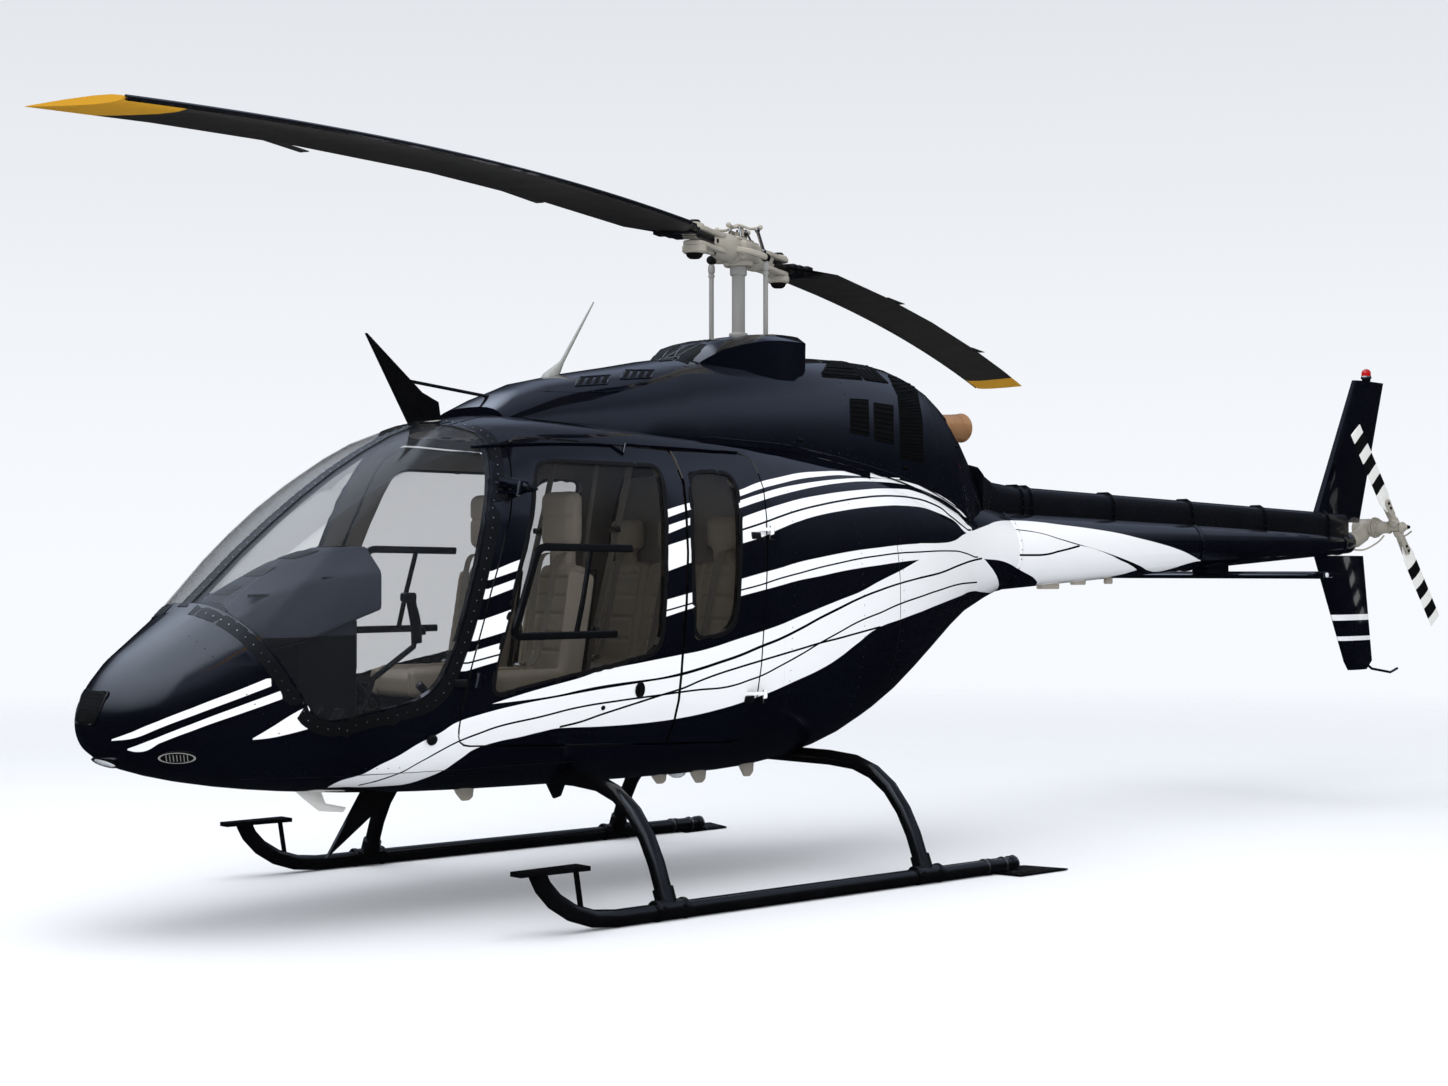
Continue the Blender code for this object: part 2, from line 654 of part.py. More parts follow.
def make_cowls(*body):
    whole = cowl_loft("whole_cowl")
    combine(whole, cowl_loft("cowl_space", COWL_WALL, -1.50, 1.54), "DIFFERENCE")
    combine(whole, body_loft("inside_body", 0.5 * WALL), "DIFFERENCE")
    fit_against(whole, *body)
    first, second = COWL_SPLITS
    parts = (
        ("forward_cowl", -4.0, first), ("transmission_cowl", first + GAP, second),
        ("engine_cowl", second + GAP, 4.0))
    made = []
    for name, low, high in parts:
        part = copy_of(whole, name)
        made.append(combine(part, box("cowl_length", (-1, low, 0), (1, high, 4)), "INTERSECT"))
    remove(whole)
    return made


def fairing_ring(y, base, top_half, top):
    return [
        (-base, y, FAIRING_BASE_Z), (base, y, FAIRING_BASE_Z), (base * 0.97, y, FAIRING_BASE_Z + 0.10),
        (top_half + 0.06, y, top - 0.045), (top_half, y, top - 0.008), (top_half * 0.5, y, top),
        (-top_half * 0.5, y, top), (-top_half, y, top - 0.008), (-top_half - 0.06, y, top - 0.045),
        (-base * 0.97, y, FAIRING_BASE_Z + 0.10),
    ]


def make_fairing(cowls):
    fairing = loft("mast_fairing", [fairing_ring(*row) for row in flowing(FAIRING_SECTIONS, 2)])
    combine(fairing, cowl_loft("inside_cowl", 0.5 * COWL_WALL), "DIFFERENCE")
    fit_against(fairing, *cowls)
    return combine(fairing, upright("well", WELL_RADIUS, 2.0, 3.0, 32), "DIFFERENCE")


def upright(name, radius, low, high, sides=24, x=0.0, y=0.0, finish="grey_metal"):
    return tube(name, [(x, y, low), (x, y, high)], radius, sides, finish)


def make_drive(cowls, body):
    """Transmission housing under the mast, engine and exhaust, with their holes in the cowls."""
    transmission_cowl, engine_cowl = cowls[1:]
    housing = upright("transmission_housing", 0.150, 2.150, MAST_BOTTOM - GAP)
    fit_against(housing, body)
    combine(transmission_cowl, upright("cowl_hole", WELL_RADIUS, 2.300, 3.0, 32), "DIFFERENCE")
    engine = box("engine_block", (-0.200, 0.580, 2.000), (0.200, 1.160, 2.380), "grey_metal")
    fit_against(engine, body)
    route = [(0, 1.1603, 2.300), (0, 1.300, 2.300), (0, 1.500, 2.296), (0, 1.715, 2.308)]
    combine(engine_cowl, tube("stack_hole", route, 0.078 + GAP, 20), "DIFFERENCE")
    stack = tube("exhaust_stack", route, 0.078, 20, "bronze_metal")
    combine(stack, tube("stack_bore", [(0, 1.480, 2.292), (0, 1.900, 2.322)], 0.068, 20), "DIFFERENCE")


# Tail

def circle_ring(y, z, radius, sides=24):
    return [(radius * math.cos(math.tau * k / sides), y, z + radius * math.sin(math.tau * k / sides))
            for k in range(sides)]


def boom_loft(name, grow=0.0):
    rings = []
    for k in range(4):
        y, z, radius = (a + (b - a) * k / 3 for a, b in zip(BOOM_START, BOOM_END))
        rings.append(circle_ring(y, z, radius + grow))
    return loft(name, rings)


def cover_loft(name, grow=0.0):
    rings = []
    for y, half, top in flowing(COVER, 1):
        w, top = half + grow, top + grow
        base = top - 0.260 if y < 3 else top - 0.200
        rings.append([
            (-w, y, base), (w, y, base), (w, y, top - 0.055), (w * 0.80, y, top - 0.016),
            (w * 0.45, y, top), (-w * 0.45, y, top), (-w * 0.80, y, top - 0.016), (-w, y, top - 0.055)])
    return loft(name, rings)


def fin(name, stations):
    return wing(name, [((0, y, z), (0, chord, 0), (thick, 0, 0)) for y, z, chord, thick in stations])


def make_tail(body):
    boom = boom_loft("tail_boom")
    cover = fit_against(cover_loft("shaft_cover"), boom, body)
    gearbox = make_tail_gearbox(boom)
    upper = fit_against(fin("upper_fin", UPPER_FIN), cover, boom, gearbox)
    beacon = Vector(BEACON)
    combine(upper, tube("beacon", [beacon + Vector((0, 0, z)) for z in (-0.030, 0.030, 0.062)], (0.030, 0.030, 0.018), 12), "UNION")
    lower = fit_against(fin("lower_fin", LOWER_FIN), boom, gearbox)
    combine(lower, tube("tail_skid", [(0, y, z) for y, z in TAIL_SKID], 0.009, 8), "UNION")

    y0, z0, chord, half = STABILIZER_Y, STABILIZER_Z, STABILIZER_CHORD, STABILIZER_HALF
    stations = [(-half, 0.86, 0.030), (-half + 0.03, 1.0, 0.046), (half - 0.03, 1.0, 0.046), (half, 0.86, 0.030)]
    plane = wing("stabilizer", [
        ((x, y0 + chord * (1 - share) * 0.3, z0), (0, chord * share, 0), (0, 0, thick)) for x, share, thick in stations])
    combine(plane, box("saddle", (-0.055, y0 + 0.02, z0), (0.055, y0 + 0.26, z0 + 0.090)), "UNION")
    fit_against(plane, boom)


def make_tail_gearbox(boom):
    centre = Vector((0, TAIL_HUB.y, TAIL_HUB.z))
    gearbox = tube("tail_gearbox", [
        (0, 5.680, 1.700), (0, 5.790, 1.712), (0, 5.870, 1.745), (0, 5.930, 1.796)],
        (0.060, 0.056, 0.056, 0.050), 16, "grey_metal")
    output = tube("output", [centre + Vector((x, 0, 0)) for x in (-0.075, 0.075, 0.100, 0.190)],
                  (0.062, 0.062, 0.045, 0.038), 16, "grey_metal")
    combine(gearbox, output, "UNION")
    return fit_against(gearbox, boom)


def make_tail_rotor():
    shaft_end = 0.190 + GAP
    angle = math.radians(TAIL_BEARING)
    along = Vector((0, math.cos(angle), math.sin(angle)))
    across = Vector((0, -along.z, along.y))
    centre = TAIL_HUB
    start = Vector((shaft_end, centre.y, centre.z))
    hub = tube("tail_rotor_hub", [start, centre + Vector((0.040, 0, 0))], 0.028, 14, "grey_metal")
    bar = tube("yoke", [centre - along * 0.150, centre + along * 0.150], 0.022, 10, "grey_metal")
    combine(hub, bar, "UNION")
    for name, way in (("tail_blade_upper", 1), ("tail_blade_lower", -1)):
        stations = []
        for radius, share, thick in ((0.1503, 0.40, 0.022), (0.240, 1.0, 0.016), (TAIL_RADIUS, 1.0, 0.010)):
            chord = TAIL_CHORD * share
            edge = centre + along * (way * radius) + across * (way * chord * 0.5)
            stations.append((edge, -across * (way * chord), (thick, 0, 0)))
        wing(name, stations, "white_paint")


# Main rotor

def blade_directions():
    angle = math.radians(ROTOR_BEARING)
    along = Vector((math.sin(angle), -math.cos(angle), 0))
    return along, Vector((-along.y, along.x, 0))


def oriented_box(name, centre, along, across, size, finish="grey_metal"):
    """A box whose length runs along one level direction."""
    length, width, height = size
    a, b = Vector(along) * (length / 2), Vector(across) * (width / 2)
    plan = [centre + a + b, centre + a - b, centre - a - b, centre - a + b]
    half = Vector((0, 0, height / 2))
    return loft(name, [[p - half for p in plan], [p + half for p in plan]], finish)


def add_fork(hub, centre, outward, across, lift):
    """One plate of a blade grip, with the cup and the nut of its blade bolt."""
    face = BLADE_ROOT_THICKNESS / 2 + GAP
    middle = centre + outward * (BLADE_BOLT - 0.085) + Vector((0, 0, lift * (face + 0.012)))
    combine(hub, oriented_box("fork", middle, outward, across, (0.280, 0.110, 0.024)), "UNION")
    bolt = centre + outward * BLADE_BOLT
    cup, nut = (0.062, 0.030) if lift < 0 else (0.052, 0.030)
    heights = [bolt + Vector((0, 0, lift * (face + rise))) for rise in (0.002, 0.040, 0.044, 0.062)]
    combine(hub, tube("cup", heights, (cup, cup * 0.86, nut, nut), 14), "UNION")


def make_main_rotor():
    along, across = blade_directions()
    hub_centre = Vector((0, 0, HUB_Z))
    upright("mast", MAST_RADIUS, MAST_BOTTOM, HUB_BOTTOM - GAP)
    hub = upright("rotor_hub", 0.070, HUB_BOTTOM, 3.215)
    reach = (-0.425, -0.290, -0.125, -0.115, 0.115, 0.125, 0.290, 0.425)
    radii = (0.044, 0.066, 0.070, 0.056, 0.056, 0.070, 0.066, 0.044)
    combine(hub, tube("barrel", [hub_centre + along * r for r in reach], radii, 18), "UNION")
    for way in (1, -1):
        for lift in (1, -1):
            add_fork(hub, hub_centre, along * way, across, lift)
    combine(hub, oriented_box("horn", Vector((0, 0, HORN_Z + 0.014)), across, along, (0.350, 0.044, 0.028)), "UNION")
    combine(hub, upright("cap_stem", 0.026, 3.200, 3.262), "UNION")
    for way, length in ((along, 0.280), (across, 0.240)):
        side = across if way == along else along
        combine(hub, oriented_box("cap_arm", Vector((0, 0, 3.268)), way, side, (length, 0.036, 0.022)), "UNION")

    plate = upright("swashplate", 0.190, SWASH_Z, SWASH_Z + 0.035)
    combine(plate, upright("mast_hole", MAST_RADIUS + GAP, 2.0, 3.0), "DIFFERENCE")
    for name, way in (("pitch_link_port", 1), ("pitch_link_starboard", -1)):
        foot = across * (way * LINK_CIRCLE)
        upright(name, LINK_RADIUS, SWASH_Z + 0.035 + GAP, HORN_Z - GAP, 10, foot.x, foot.y)

    plan = ((BLADE_ROOT, 0.30, 0.050), (0.670, 0.34, 0.050), (0.800, 0.66, 0.048), (1.000, 1.0, 0.044),
            (1.900, 1.0, 0.040), (2.900, 1.0, 0.038), (3.900, 1.0, 0.036), (4.700, 1.0, 0.034), (ROTOR_RADIUS, 1.0, 0.026))
    for name, way in (("rotor_blade_port", 1), ("rotor_blade_starboard", -1)):
        stations = []
        for radius, share, thick in plan:
            chord = ROTOR_CHORD * share
            sag = ROTOR_DROOP * (max(0.0, radius - 0.7) / (ROTOR_RADIUS - 0.7)) ** 2
            edge = hub_centre + along * (way * radius) + across * (way * chord * 0.42) - Vector((0, 0, sag))
            stations.append((edge, -across * (way * chord), (0, 0, thick)))
        wing(name, stations, "blade_paint")


# Landing gear

def cross_path(y):
    half = [(x, y, z) for x, z in CROSS_TUBE]
    return [(-x, a, z) for x, a, z in half[:0:-1]] + half


def make_cross_tube(name, y, host):
    """One arched tube under the cabin, with the hole where it passes through the belly."""
    bar = tube(name, cross_path(y), TUBE_R, 14)
    combine(host, tube("passage", cross_path(y), TUBE_R + GAP, 14), "DIFFERENCE")
    return bar


def make_skid():
    x = TRACK_HALF
    path = [(x, SKID_END_Y, TUBE_R), *[(x, y, z) for y, z in SKID_TOE]]
    skid = tube("skid_port", path, TUBE_R, 14)
    foot = Vector((CROSS_TUBE[-1][0], 0, CROSS_TUBE[-1][1]))
    before = Vector((CROSS_TUBE[-2][0], 0, CROSS_TUBE[-2][1]))
    lean = (foot - before).normalized()
    for y in (FRONT_SADDLE_Y, REAR_SADDLE_Y):
        top = foot + lean * GAP + Vector((0, y, 0))
        combine(skid, tube("saddle", [top, top + lean * 0.085], 0.047, 14), "UNION")
        combine(skid, tube("sleeve", [(x, y - 0.085, TUBE_R + 0.00526), (x, y + 0.085, TUBE_R + 0.00526)], 0.0435, 14), "UNION")
    toe_y, toe_z = SKID_TOE[-1]
    plan = [(x - 0.050, toe_y + 0.240), (x - 0.035, toe_y - 0.110), (x + 0.035, toe_y - 0.110), (x + 0.050, toe_y + 0.240)]
    combine(skid, prism("toe_plate", plan, toe_z - 0.004, toe_z + 0.016, "z"), "UNION")
    combine(skid, tube("strut", [(x, toe_y + 0.200, toe_z), (x, -1.960, 0.080)], 0.012, 8), "UNION")
    plan = [(x - 0.080, 0.600), (x - 0.060, 0.930), (x + 0.165, 1.000), (x + 0.165, 0.640)]
    combine(skid, prism("ground_plate", plan, 0.003, 0.011, "z"), "UNION")
    return skid


def make_gear(hull, body):
    make_cross_tube("front_cross_tube", FRONT_SADDLE_Y, hull)
    make_cross_tube("rear_cross_tube", REAR_SADDLE_Y, body)
    mirrored(make_skid(), "skid_starboard")


# Cabin fittings

def make_interior():
    floor = body_loft("cabin_floor", WALL, -9.0, 0.5, "floor_cover")
    slab = box("slab", (-1, FLOOR_FRONT_Y, FLOOR_TOP - FLOOR_THICKNESS), (1, BULKHEAD_Y - GAP, FLOOR_TOP))
    combine(floor, slab, "INTERSECT")
    floor.data.transform(Matrix.Diagonal((0.9990, 1.0, 1.0, 1.0)))
    combine(floor, box("footwell_panel", (-0.440, -1.225, FLOOR_TOP - 0.010), (0.440, -1.015, FLOOR_TOP + 0.003)), "UNION")

    for name, x in (("seat_front_port", SEAT_X), ("seat_front_starboard", -SEAT_X)):
        low, high = x - SEAT_WIDTH / 2, x + SEAT_WIDTH / 2
        seat = prism(name, SEAT_SIDE, low, high, "x", "seat_leather")
        headrest = prism("headrest", HEADREST_SIDE, x - HEADREST_HALF, x + HEADREST_HALF)
        combine(seat, headrest, "UNION")
        combine(seat, box("base", (x - 0.17, -1.900, FLOOR_TOP + GAP), (x + 0.17, -1.460, 0.950)), "UNION")
    bench = prism("seat_rear", BENCH_SIDE, -0.570, 0.570, "x", "seat_leather")
    for x in BENCH_HEADRESTS:
        headrest = prism("headrest", BENCH_HEADREST_SIDE, x - BENCH_HEADREST_HALF, x + BENCH_HEADREST_HALF)
        combine(bench, headrest, "UNION")
    combine(bench, box("base", (-0.500, -0.930, FLOOR_TOP + GAP), (0.500, -0.400, 0.950)), "UNION")

    rings = [
        [(-HOOD_HALF, y, low), (HOOD_HALF, y, low), (HOOD_HALF, y, edge), (CROWN_HALF, y, crown),
         (-CROWN_HALF, y, crown), (-HOOD_HALF, y, edge)]
        for y, low, edge, crown in HOOD
    ]
    console = loft("instrument_console", rings, "dark_plastic")
    pedestal = prism("pedestal", PEDESTAL_SIDE, -PEDESTAL_HALF, PEDESTAL_HALF, "x", "dark_plastic")
    combine(console, pedestal, "UNION")
    for name, x in (("cyclic_port", SEAT_X), ("cyclic_starboard", -SEAT_X)):
        tube(name, [(x, y, z) for y, z in CYCLIC], (0.022, 0.022, 0.013, 0.013, 0.013, 0.013, 0.020, 0.020), 10, "dark_plastic")


def blade_piece(name, outline, thickness, finish, *hosts):
    """A flat upright plate on the centre line, trimmed to what it stands on."""
    plate = prism(name, outline, -thickness / 2, thickness / 2, "x", finish)
    for host in hosts:
        combine(plate, host, "DIFFERENCE")
    return plate


def make_small_parts(roof, front, hull, forward_cowl):
    cutter = blade_piece("upper_wire_cutter", [
        (-1.850, 2.150), (-2.000, 2.120), (-2.255, 2.560), (-1.960, 2.310), (-1.870, 2.270)], 0.022, "black_paint")
    combine(cutter, tube("stay", [(0, -2.040, 2.360), (0, -1.480, 2.300)], 0.008, 8), "UNION")
    combine(cutter, body_loft("inside_body", 0.01), "DIFFERENCE")
    combine(cutter, cowl_loft("inside_cowl", 0.5 * COWL_WALL), "DIFFERENCE")
    fit_against(cutter, roof, front, forward_cowl)
    lower = blade_piece("lower_wire_cutter", [
        (-2.020, 0.600), (-2.220, 0.600), (-2.455, 0.235), (-2.120, 0.480)], 0.018, "black_paint",
        body_loft("inside_body", 0.01))
    fit_against(lower, hull)
    whip = tube("whip_antenna", [(0, -1.250, 2.300), (0, -1.222, 2.420), (0, -1.150, 2.500), (0, -0.955, 2.805)],
                (0.080, 0.040, 0.011, 0.004), 12, "white_paint")
    combine(whip, cowl_loft("inside_cowl", 0.5 * COWL_WALL), "DIFFERENCE")
    fit_against(whip, forward_cowl)


def settle():
    """Moves the whole aircraft so that the middle of its box stands on the origin."""
    for obj in bpy.context.scene.objects:
        obj.data.transform(Matrix.Translation((0, FRAME_SHIFT, 0)))
        obj.data.shade_smooth()
        obj.data.set_sharp_from_angle(angle=math.radians(35))


def put_origin(point, *names):
    """Places the origin of each piece on its joint axis."""
    point = Vector(point) + Vector((0, FRAME_SHIFT, 0))
    for name in names:
        obj = bpy.data.objects[name]
        obj.data.transform(Matrix.Translation(-point))
        obj.location = point


def place_origins():
    put_origin((0, 0, HUB_Z), "mast", "rotor_hub", "swashplate", "pitch_link_port", "pitch_link_starboard",
               "rotor_blade_port", "rotor_blade_starboard")
    put_origin(TAIL_HUB, "tail_rotor_hub", "tail_blade_upper", "tail_blade_lower")
    front, rear = axis_point(FRONT_AXIS, FRONT_HINGES[0]), axis_point(REAR_AXIS, REAR_HINGES[0])
    put_origin(front, "door_front_port", "window_front_port")
    put_origin((-front.x, front.y, front.z), "door_front_starboard", "window_front_starboard")
    put_origin(rear, "door_rear_port", "window_rear_port")


def main():
    clear_scene()
    nose = make_nose()
    hull, port, roof, front, starboard = make_cabin()
    body = make_rear_body()
    cowls = make_cowls(roof, port, starboard, body)
    make_fairing(cowls)
    make_drive(cowls, body)
    make_tail(body)
    make_tail_rotor()
    make_main_rotor()
    make_gear(hull, body)
    make_interior()
    make_small_parts(roof, front, hull, cowls[0])
    settle()
    place_origins()


if __name__ == "__main__":
    main()
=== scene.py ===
import math

import bmesh
import bpy
import numpy as np
from mathutils import Matrix, Vector
from mathutils.bvhtree import BVHTree


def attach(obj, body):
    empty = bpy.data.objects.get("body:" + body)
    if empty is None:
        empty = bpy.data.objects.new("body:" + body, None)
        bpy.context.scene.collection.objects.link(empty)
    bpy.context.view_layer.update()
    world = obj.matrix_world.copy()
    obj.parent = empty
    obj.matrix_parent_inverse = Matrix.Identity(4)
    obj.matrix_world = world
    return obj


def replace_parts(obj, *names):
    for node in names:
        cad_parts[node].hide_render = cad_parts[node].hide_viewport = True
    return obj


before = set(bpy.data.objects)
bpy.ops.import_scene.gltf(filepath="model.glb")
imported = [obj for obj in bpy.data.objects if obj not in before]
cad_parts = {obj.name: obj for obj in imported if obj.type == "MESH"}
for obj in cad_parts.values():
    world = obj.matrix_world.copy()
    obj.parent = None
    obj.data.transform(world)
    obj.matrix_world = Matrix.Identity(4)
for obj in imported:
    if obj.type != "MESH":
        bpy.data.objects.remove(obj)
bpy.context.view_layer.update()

# Lengths are metres. Most places are measured from the rotor mast, which stands at this y.
MAST_Y = -0.8287
WHITE = "#F4F5F6"


def at(x, y, z):
    """A point measured from the rotor mast, in the part's frame."""
    return Vector((x, y + MAST_Y, z))


TAIL_HUB = at(0.235, 5.930, 1.796)
# The viewpoint of the photograph, off the port bow
EYE = Vector((8.303, -8.4157, 1.499))
PITCH, YAW = math.radians(90.719), math.radians(47.959)
LENS_MM, SENSOR_MM = 54.24, 36.0
FOCUS = 2181.6          # pixels of the 1448 x 1086 photograph
CENTRE_X, CENTRE_Y = 724, 543


# Materials

def linear(colour):
    """An sRGB hex colour as linear RGBA."""
    parts = [int(colour[i:i + 2], 16) / 255 for i in (1, 3, 5)]
    return (*[c / 12.92 if c <= 0.04045 else ((c + 0.055) / 1.055) ** 2.4 for c in parts], 1.0)


def node(tree, kind, inputs=None, **settings):
    """Adds a shader node; each input is a plain value or the socket that feeds it."""
    made = tree.nodes.new(kind)
    for name, value in settings.items():
        setattr(made, name, value)
    for name, value in (inputs or {}).items():
        if isinstance(value, bpy.types.NodeSocket):
            tree.links.new(value, made.inputs[name])
        else:
            made.inputs[name].default_value = value
    return made


def maths(tree, operation, a, b=0.0, c=0.0, clamp=False):
    """The result of one sum on the shader tree."""
    made = node(tree, "ShaderNodeMath", {0: a, 1: b, 2: c}, operation=operation, use_clamp=clamp)
    return made.outputs[0]


def mapped(tree, value, low, high, new_low=0.0, new_high=1.0):
    """A value moved from one range to another and held at its ends."""
    return node(tree, "ShaderNodeMapRange", {
        "Value": value, "From Min": low, "From Max": high, "To Min": new_low, "To Max": new_high
    }).outputs["Result"]


MIX_A, MIX_B, MIX_RESULT = 6, 7, 2      # the colour sockets of a Mix node


def mixed(tree, share, first, second):
    """A blend from the first colour to the second."""
    made = node(tree, "ShaderNodeMix", {"Factor": share, MIX_A: first, MIX_B: second}, data_type="RGBA")
    return made.outputs[MIX_RESULT]


def noise(tree, place, per_metre, detail):
    made = node(tree, "ShaderNodeTexNoise", {"Vector": place, "Scale": per_metre, "Detail": detail})
    return made.outputs["Fac"]


def object_place(tree):
    return node(tree, "ShaderNodeTexCoord").outputs["Object"]


def finish(name, colour, roughness, second=None, tone_mm=400, tone=0.3, grain_mm=None, grain=0.0,
           rough_spread=0.05, **sockets):
    """A material whose colour and gloss drift over the piece, with a fine surface grain."""
    material = bpy.data.materials.new(name)
    material.use_nodes = True
    tree = material.node_tree
    shader = tree.nodes["Principled BSDF"]
    place = object_place(tree)
    share = mapped(tree, noise(tree, place, 1000 / tone_mm, 4.0), 0.35, 0.65, 0.0, tone)
    tree.links.new(mixed(tree, share, linear(colour), linear(second or colour)), shader.inputs["Base Color"])
    gloss = mapped(tree, noise(tree, place, 2600 / tone_mm, 6.0), 0.3, 0.7,
                   max(0.0, roughness - rough_spread), roughness + rough_spread)
    tree.links.new(gloss, shader.inputs["Roughness"])
    if grain_mm:
        relief = node(tree, "ShaderNodeBump", {"Height": noise(tree, place, 1000 / grain_mm, 3.0),
                                               "Strength": grain, "Distance": grain_mm / 4000})
        tree.links.new(relief.outputs["Normal"], shader.inputs["Normal"])
    for socket, value in sockets.items():
        shader.inputs[socket.replace("_", " ")].default_value = value
    return material


def edge_curve(tree, along, line):
    """Height of a painted edge at each y, read from a smooth curve through a few points."""
    line = sorted(line)
    low_y, high_y = line[0][0], line[-1][0]
    low_z, high_z = min(z for _, z in line) - 0.01, max(z for _, z in line) + 0.01
    share = maths(tree, "DIVIDE", maths(tree, "SUBTRACT", along, low_y), high_y - low_y, clamp=True)
    curve = node(tree, "ShaderNodeFloatCurve", {"Value": share})
    points = curve.mapping.curves[0].points
    for i, (y, z) in enumerate(line):
        spot = ((y - low_y) / (high_y - low_y), (z - low_z) / (high_z - low_z))
        if i in (0, len(line) - 1):
            points[-1 if i else 0].location = spot
        else:
            points.new(*spot)
    for point in points:
        point.handle_type = "AUTO_CLAMPED"
    curve.mapping.update()
    return maths(tree, "MULTIPLY_ADD", curve.outputs[0], high_z - low_z, low_z)


PAINT_EDGE = 900.0      # one over the width of the blend at a masked paint edge, in 1/m


def under(tree, low, high):
    """1 where low is under high, with a narrow blend between."""
    return maths(tree, "MULTIPLY_ADD", maths(tree, "SUBTRACT", high, low), PAINT_EDGE, 0.5, clamp=True)


def stretch(tree, along, first, last):
    """1 between two places along an axis."""
    return maths(tree, "MULTIPLY", under(tree, first, along), under(tree, along, last))


def highest(tree, masks):
    """1 where any of the masks is 1."""
    found = masks[0]
    for mask in masks[1:]:
        found = maths(tree, "MAXIMUM", found, mask)
    return found


def stripe_mask(tree, along, height, bands, lines):
    """White bands between two edges, less the thin lines that divide them."""
    white = []
    for top, bottom, first, last in bands:
        inside = maths(tree, "MULTIPLY", under(tree, height, edge_curve(tree, along, top)),
                       under(tree, edge_curve(tree, along, bottom), height))
        white.append(maths(tree, "MULTIPLY", inside, stretch(tree, along, first, last)))
    mask = highest(tree, white)
    dark = []
    for line, half, first, last in lines:
        off = maths(tree, "ABSOLUTE", maths(tree, "SUBTRACT", height, edge_curve(tree, along, line)))
        dark.append(maths(tree, "MULTIPLY", under(tree, off, half), stretch(tree, along, first, last)))
    if dark:
        mask = maths(tree, "MULTIPLY", mask, maths(tree, "SUBTRACT", 1.0, highest(tree, dark)))
    return mask


def overlay(material, mask, colour):
    """Paints a colour over the base where the mask is 1."""
    tree = material.node_tree
    base = tree.nodes["Principled BSDF"].inputs["Base Color"]
    tree.links.new(mixed(tree, mask, base.links[0].from_socket, linear(colour)), base)


def object_axes(material):
    """The x, y and z of the surface point."""
    tree = material.node_tree
    return node(tree, "ShaderNodeSeparateXYZ", {0: object_place(tree)}).outputs[:3]


CABIN_FRONT, CABIN_REAR, CABIN_MIDDLE_Z = -3.880, -1.120, 1.25
REVEAL_LIMIT, LINING_LIMIT = 0.12, -0.02        # a face looks out of the cabin where its lean is over these
KICK_PANEL_Z = 1.16


def trim_inside(material, colour):
    """Paints the reveals of the door openings black, and what faces into the cabin in its lining colour."""
    tree = material.node_tree
    x, along, z = object_axes(material)
    lean = node(tree, "ShaderNodeSeparateXYZ", {0: node(tree, "ShaderNodeNewGeometry").outputs["Normal"]})
    rise = maths(tree, "MULTIPLY", lean.outputs[2], maths(tree, "SUBTRACT", z, CABIN_MIDDLE_Z))
    outward = maths(tree, "ADD", maths(tree, "MULTIPLY", lean.outputs[0], x), rise)
    cabin = stretch(tree, along, CABIN_FRONT, CABIN_REAR)
    overlay(material, maths(tree, "MULTIPLY", under(tree, outward, REVEAL_LIMIT), cabin), "#0A0A0B")
    lining = maths(tree, "MULTIPLY", under(tree, outward, LINING_LIMIT), cabin)
    overlay(material, lining, colour)
    overlay(material, maths(tree, "MULTIPLY", lining, under(tree, z, KICK_PANEL_Z)), "#24221F")


# The livery, the same on both sides. A band is its top edge, its bottom edge, and the y where it begins and
# ends. A divider is its line, half its width, and its two ends. Edges are (y, height) in the part's frame.
BAND_1 = ([(-2.881, 1.496), (-2.740, 1.544), (-1.883, 1.777), (-1.731, 1.813), (-1.407, 1.878),
           (-1.233, 1.926), (-1.077, 1.955), (-0.916, 1.981), (-0.750, 1.994), (-0.576, 2.003),
           (-0.396, 2.004), (-0.240, 1.982)],
          [(-2.893, 1.458), (-2.742, 1.501), (-1.888, 1.740), (-1.740, 1.780), (-1.410, 1.849),
           (-1.250, 1.891), (-1.094, 1.922), (-0.933, 1.950), (-0.769, 1.968), (-0.599, 1.981),
           (-0.422, 1.982), (-0.240, 1.975)],
          -2.950, -0.100)
BAND_2 = ([(-2.904, 1.419), (-2.760, 1.462), (-1.894, 1.703), (-1.742, 1.743), (-1.412, 1.829),
           (-1.258, 1.867), (-1.106, 1.900), (-0.948, 1.924), (-0.783, 1.944), (-0.614, 1.960),
           (-0.434, 1.971), (-0.200, 1.974), (0.000, 1.958), (0.212, 1.914), (0.402, 1.856),
           (0.560, 1.785)],
          [(-2.916, 1.376), (-2.766, 1.423), (-1.894, 1.666), (-1.747, 1.710), (-1.411, 1.796),
           (-1.268, 1.832), (-1.121, 1.865), (-0.965, 1.894), (-0.799, 1.919), (-0.627, 1.939),
           (-0.448, 1.953), (-0.260, 1.957), (-0.053, 1.947), (0.212, 1.898), (0.402, 1.842),
           (0.560, 1.773)],
          -2.970, 0.550)
BAND_3 = ([(-2.938, 1.287), (-2.796, 1.328), (-1.906, 1.611), (-1.756, 1.649), (-1.419, 1.748),
           (-1.283, 1.784), (-1.136, 1.818), (-0.984, 1.849), (-0.826, 1.872), (-0.657, 1.892),
           (-0.479, 1.908), (-0.287, 1.921), (-0.084, 1.925), (0.068, 1.909), (0.212, 1.875),
           (0.402, 1.821), (0.539, 1.758), (0.620, 1.725)],
          [(-2.973, 1.198), (-2.822, 1.234), (-1.917, 1.492), (-1.769, 1.533), (-1.439, 1.624),
           (-1.310, 1.654), (-1.168, 1.699), (-1.021, 1.740), (-0.862, 1.772), (-0.699, 1.795),
           (-0.529, 1.814), (-0.348, 1.828), (-0.155, 1.836), (0.053, 1.833), (0.264, 1.801),
           (0.417, 1.761), (0.511, 1.708), (0.620, 1.680)],
          -3.020, 0.600)
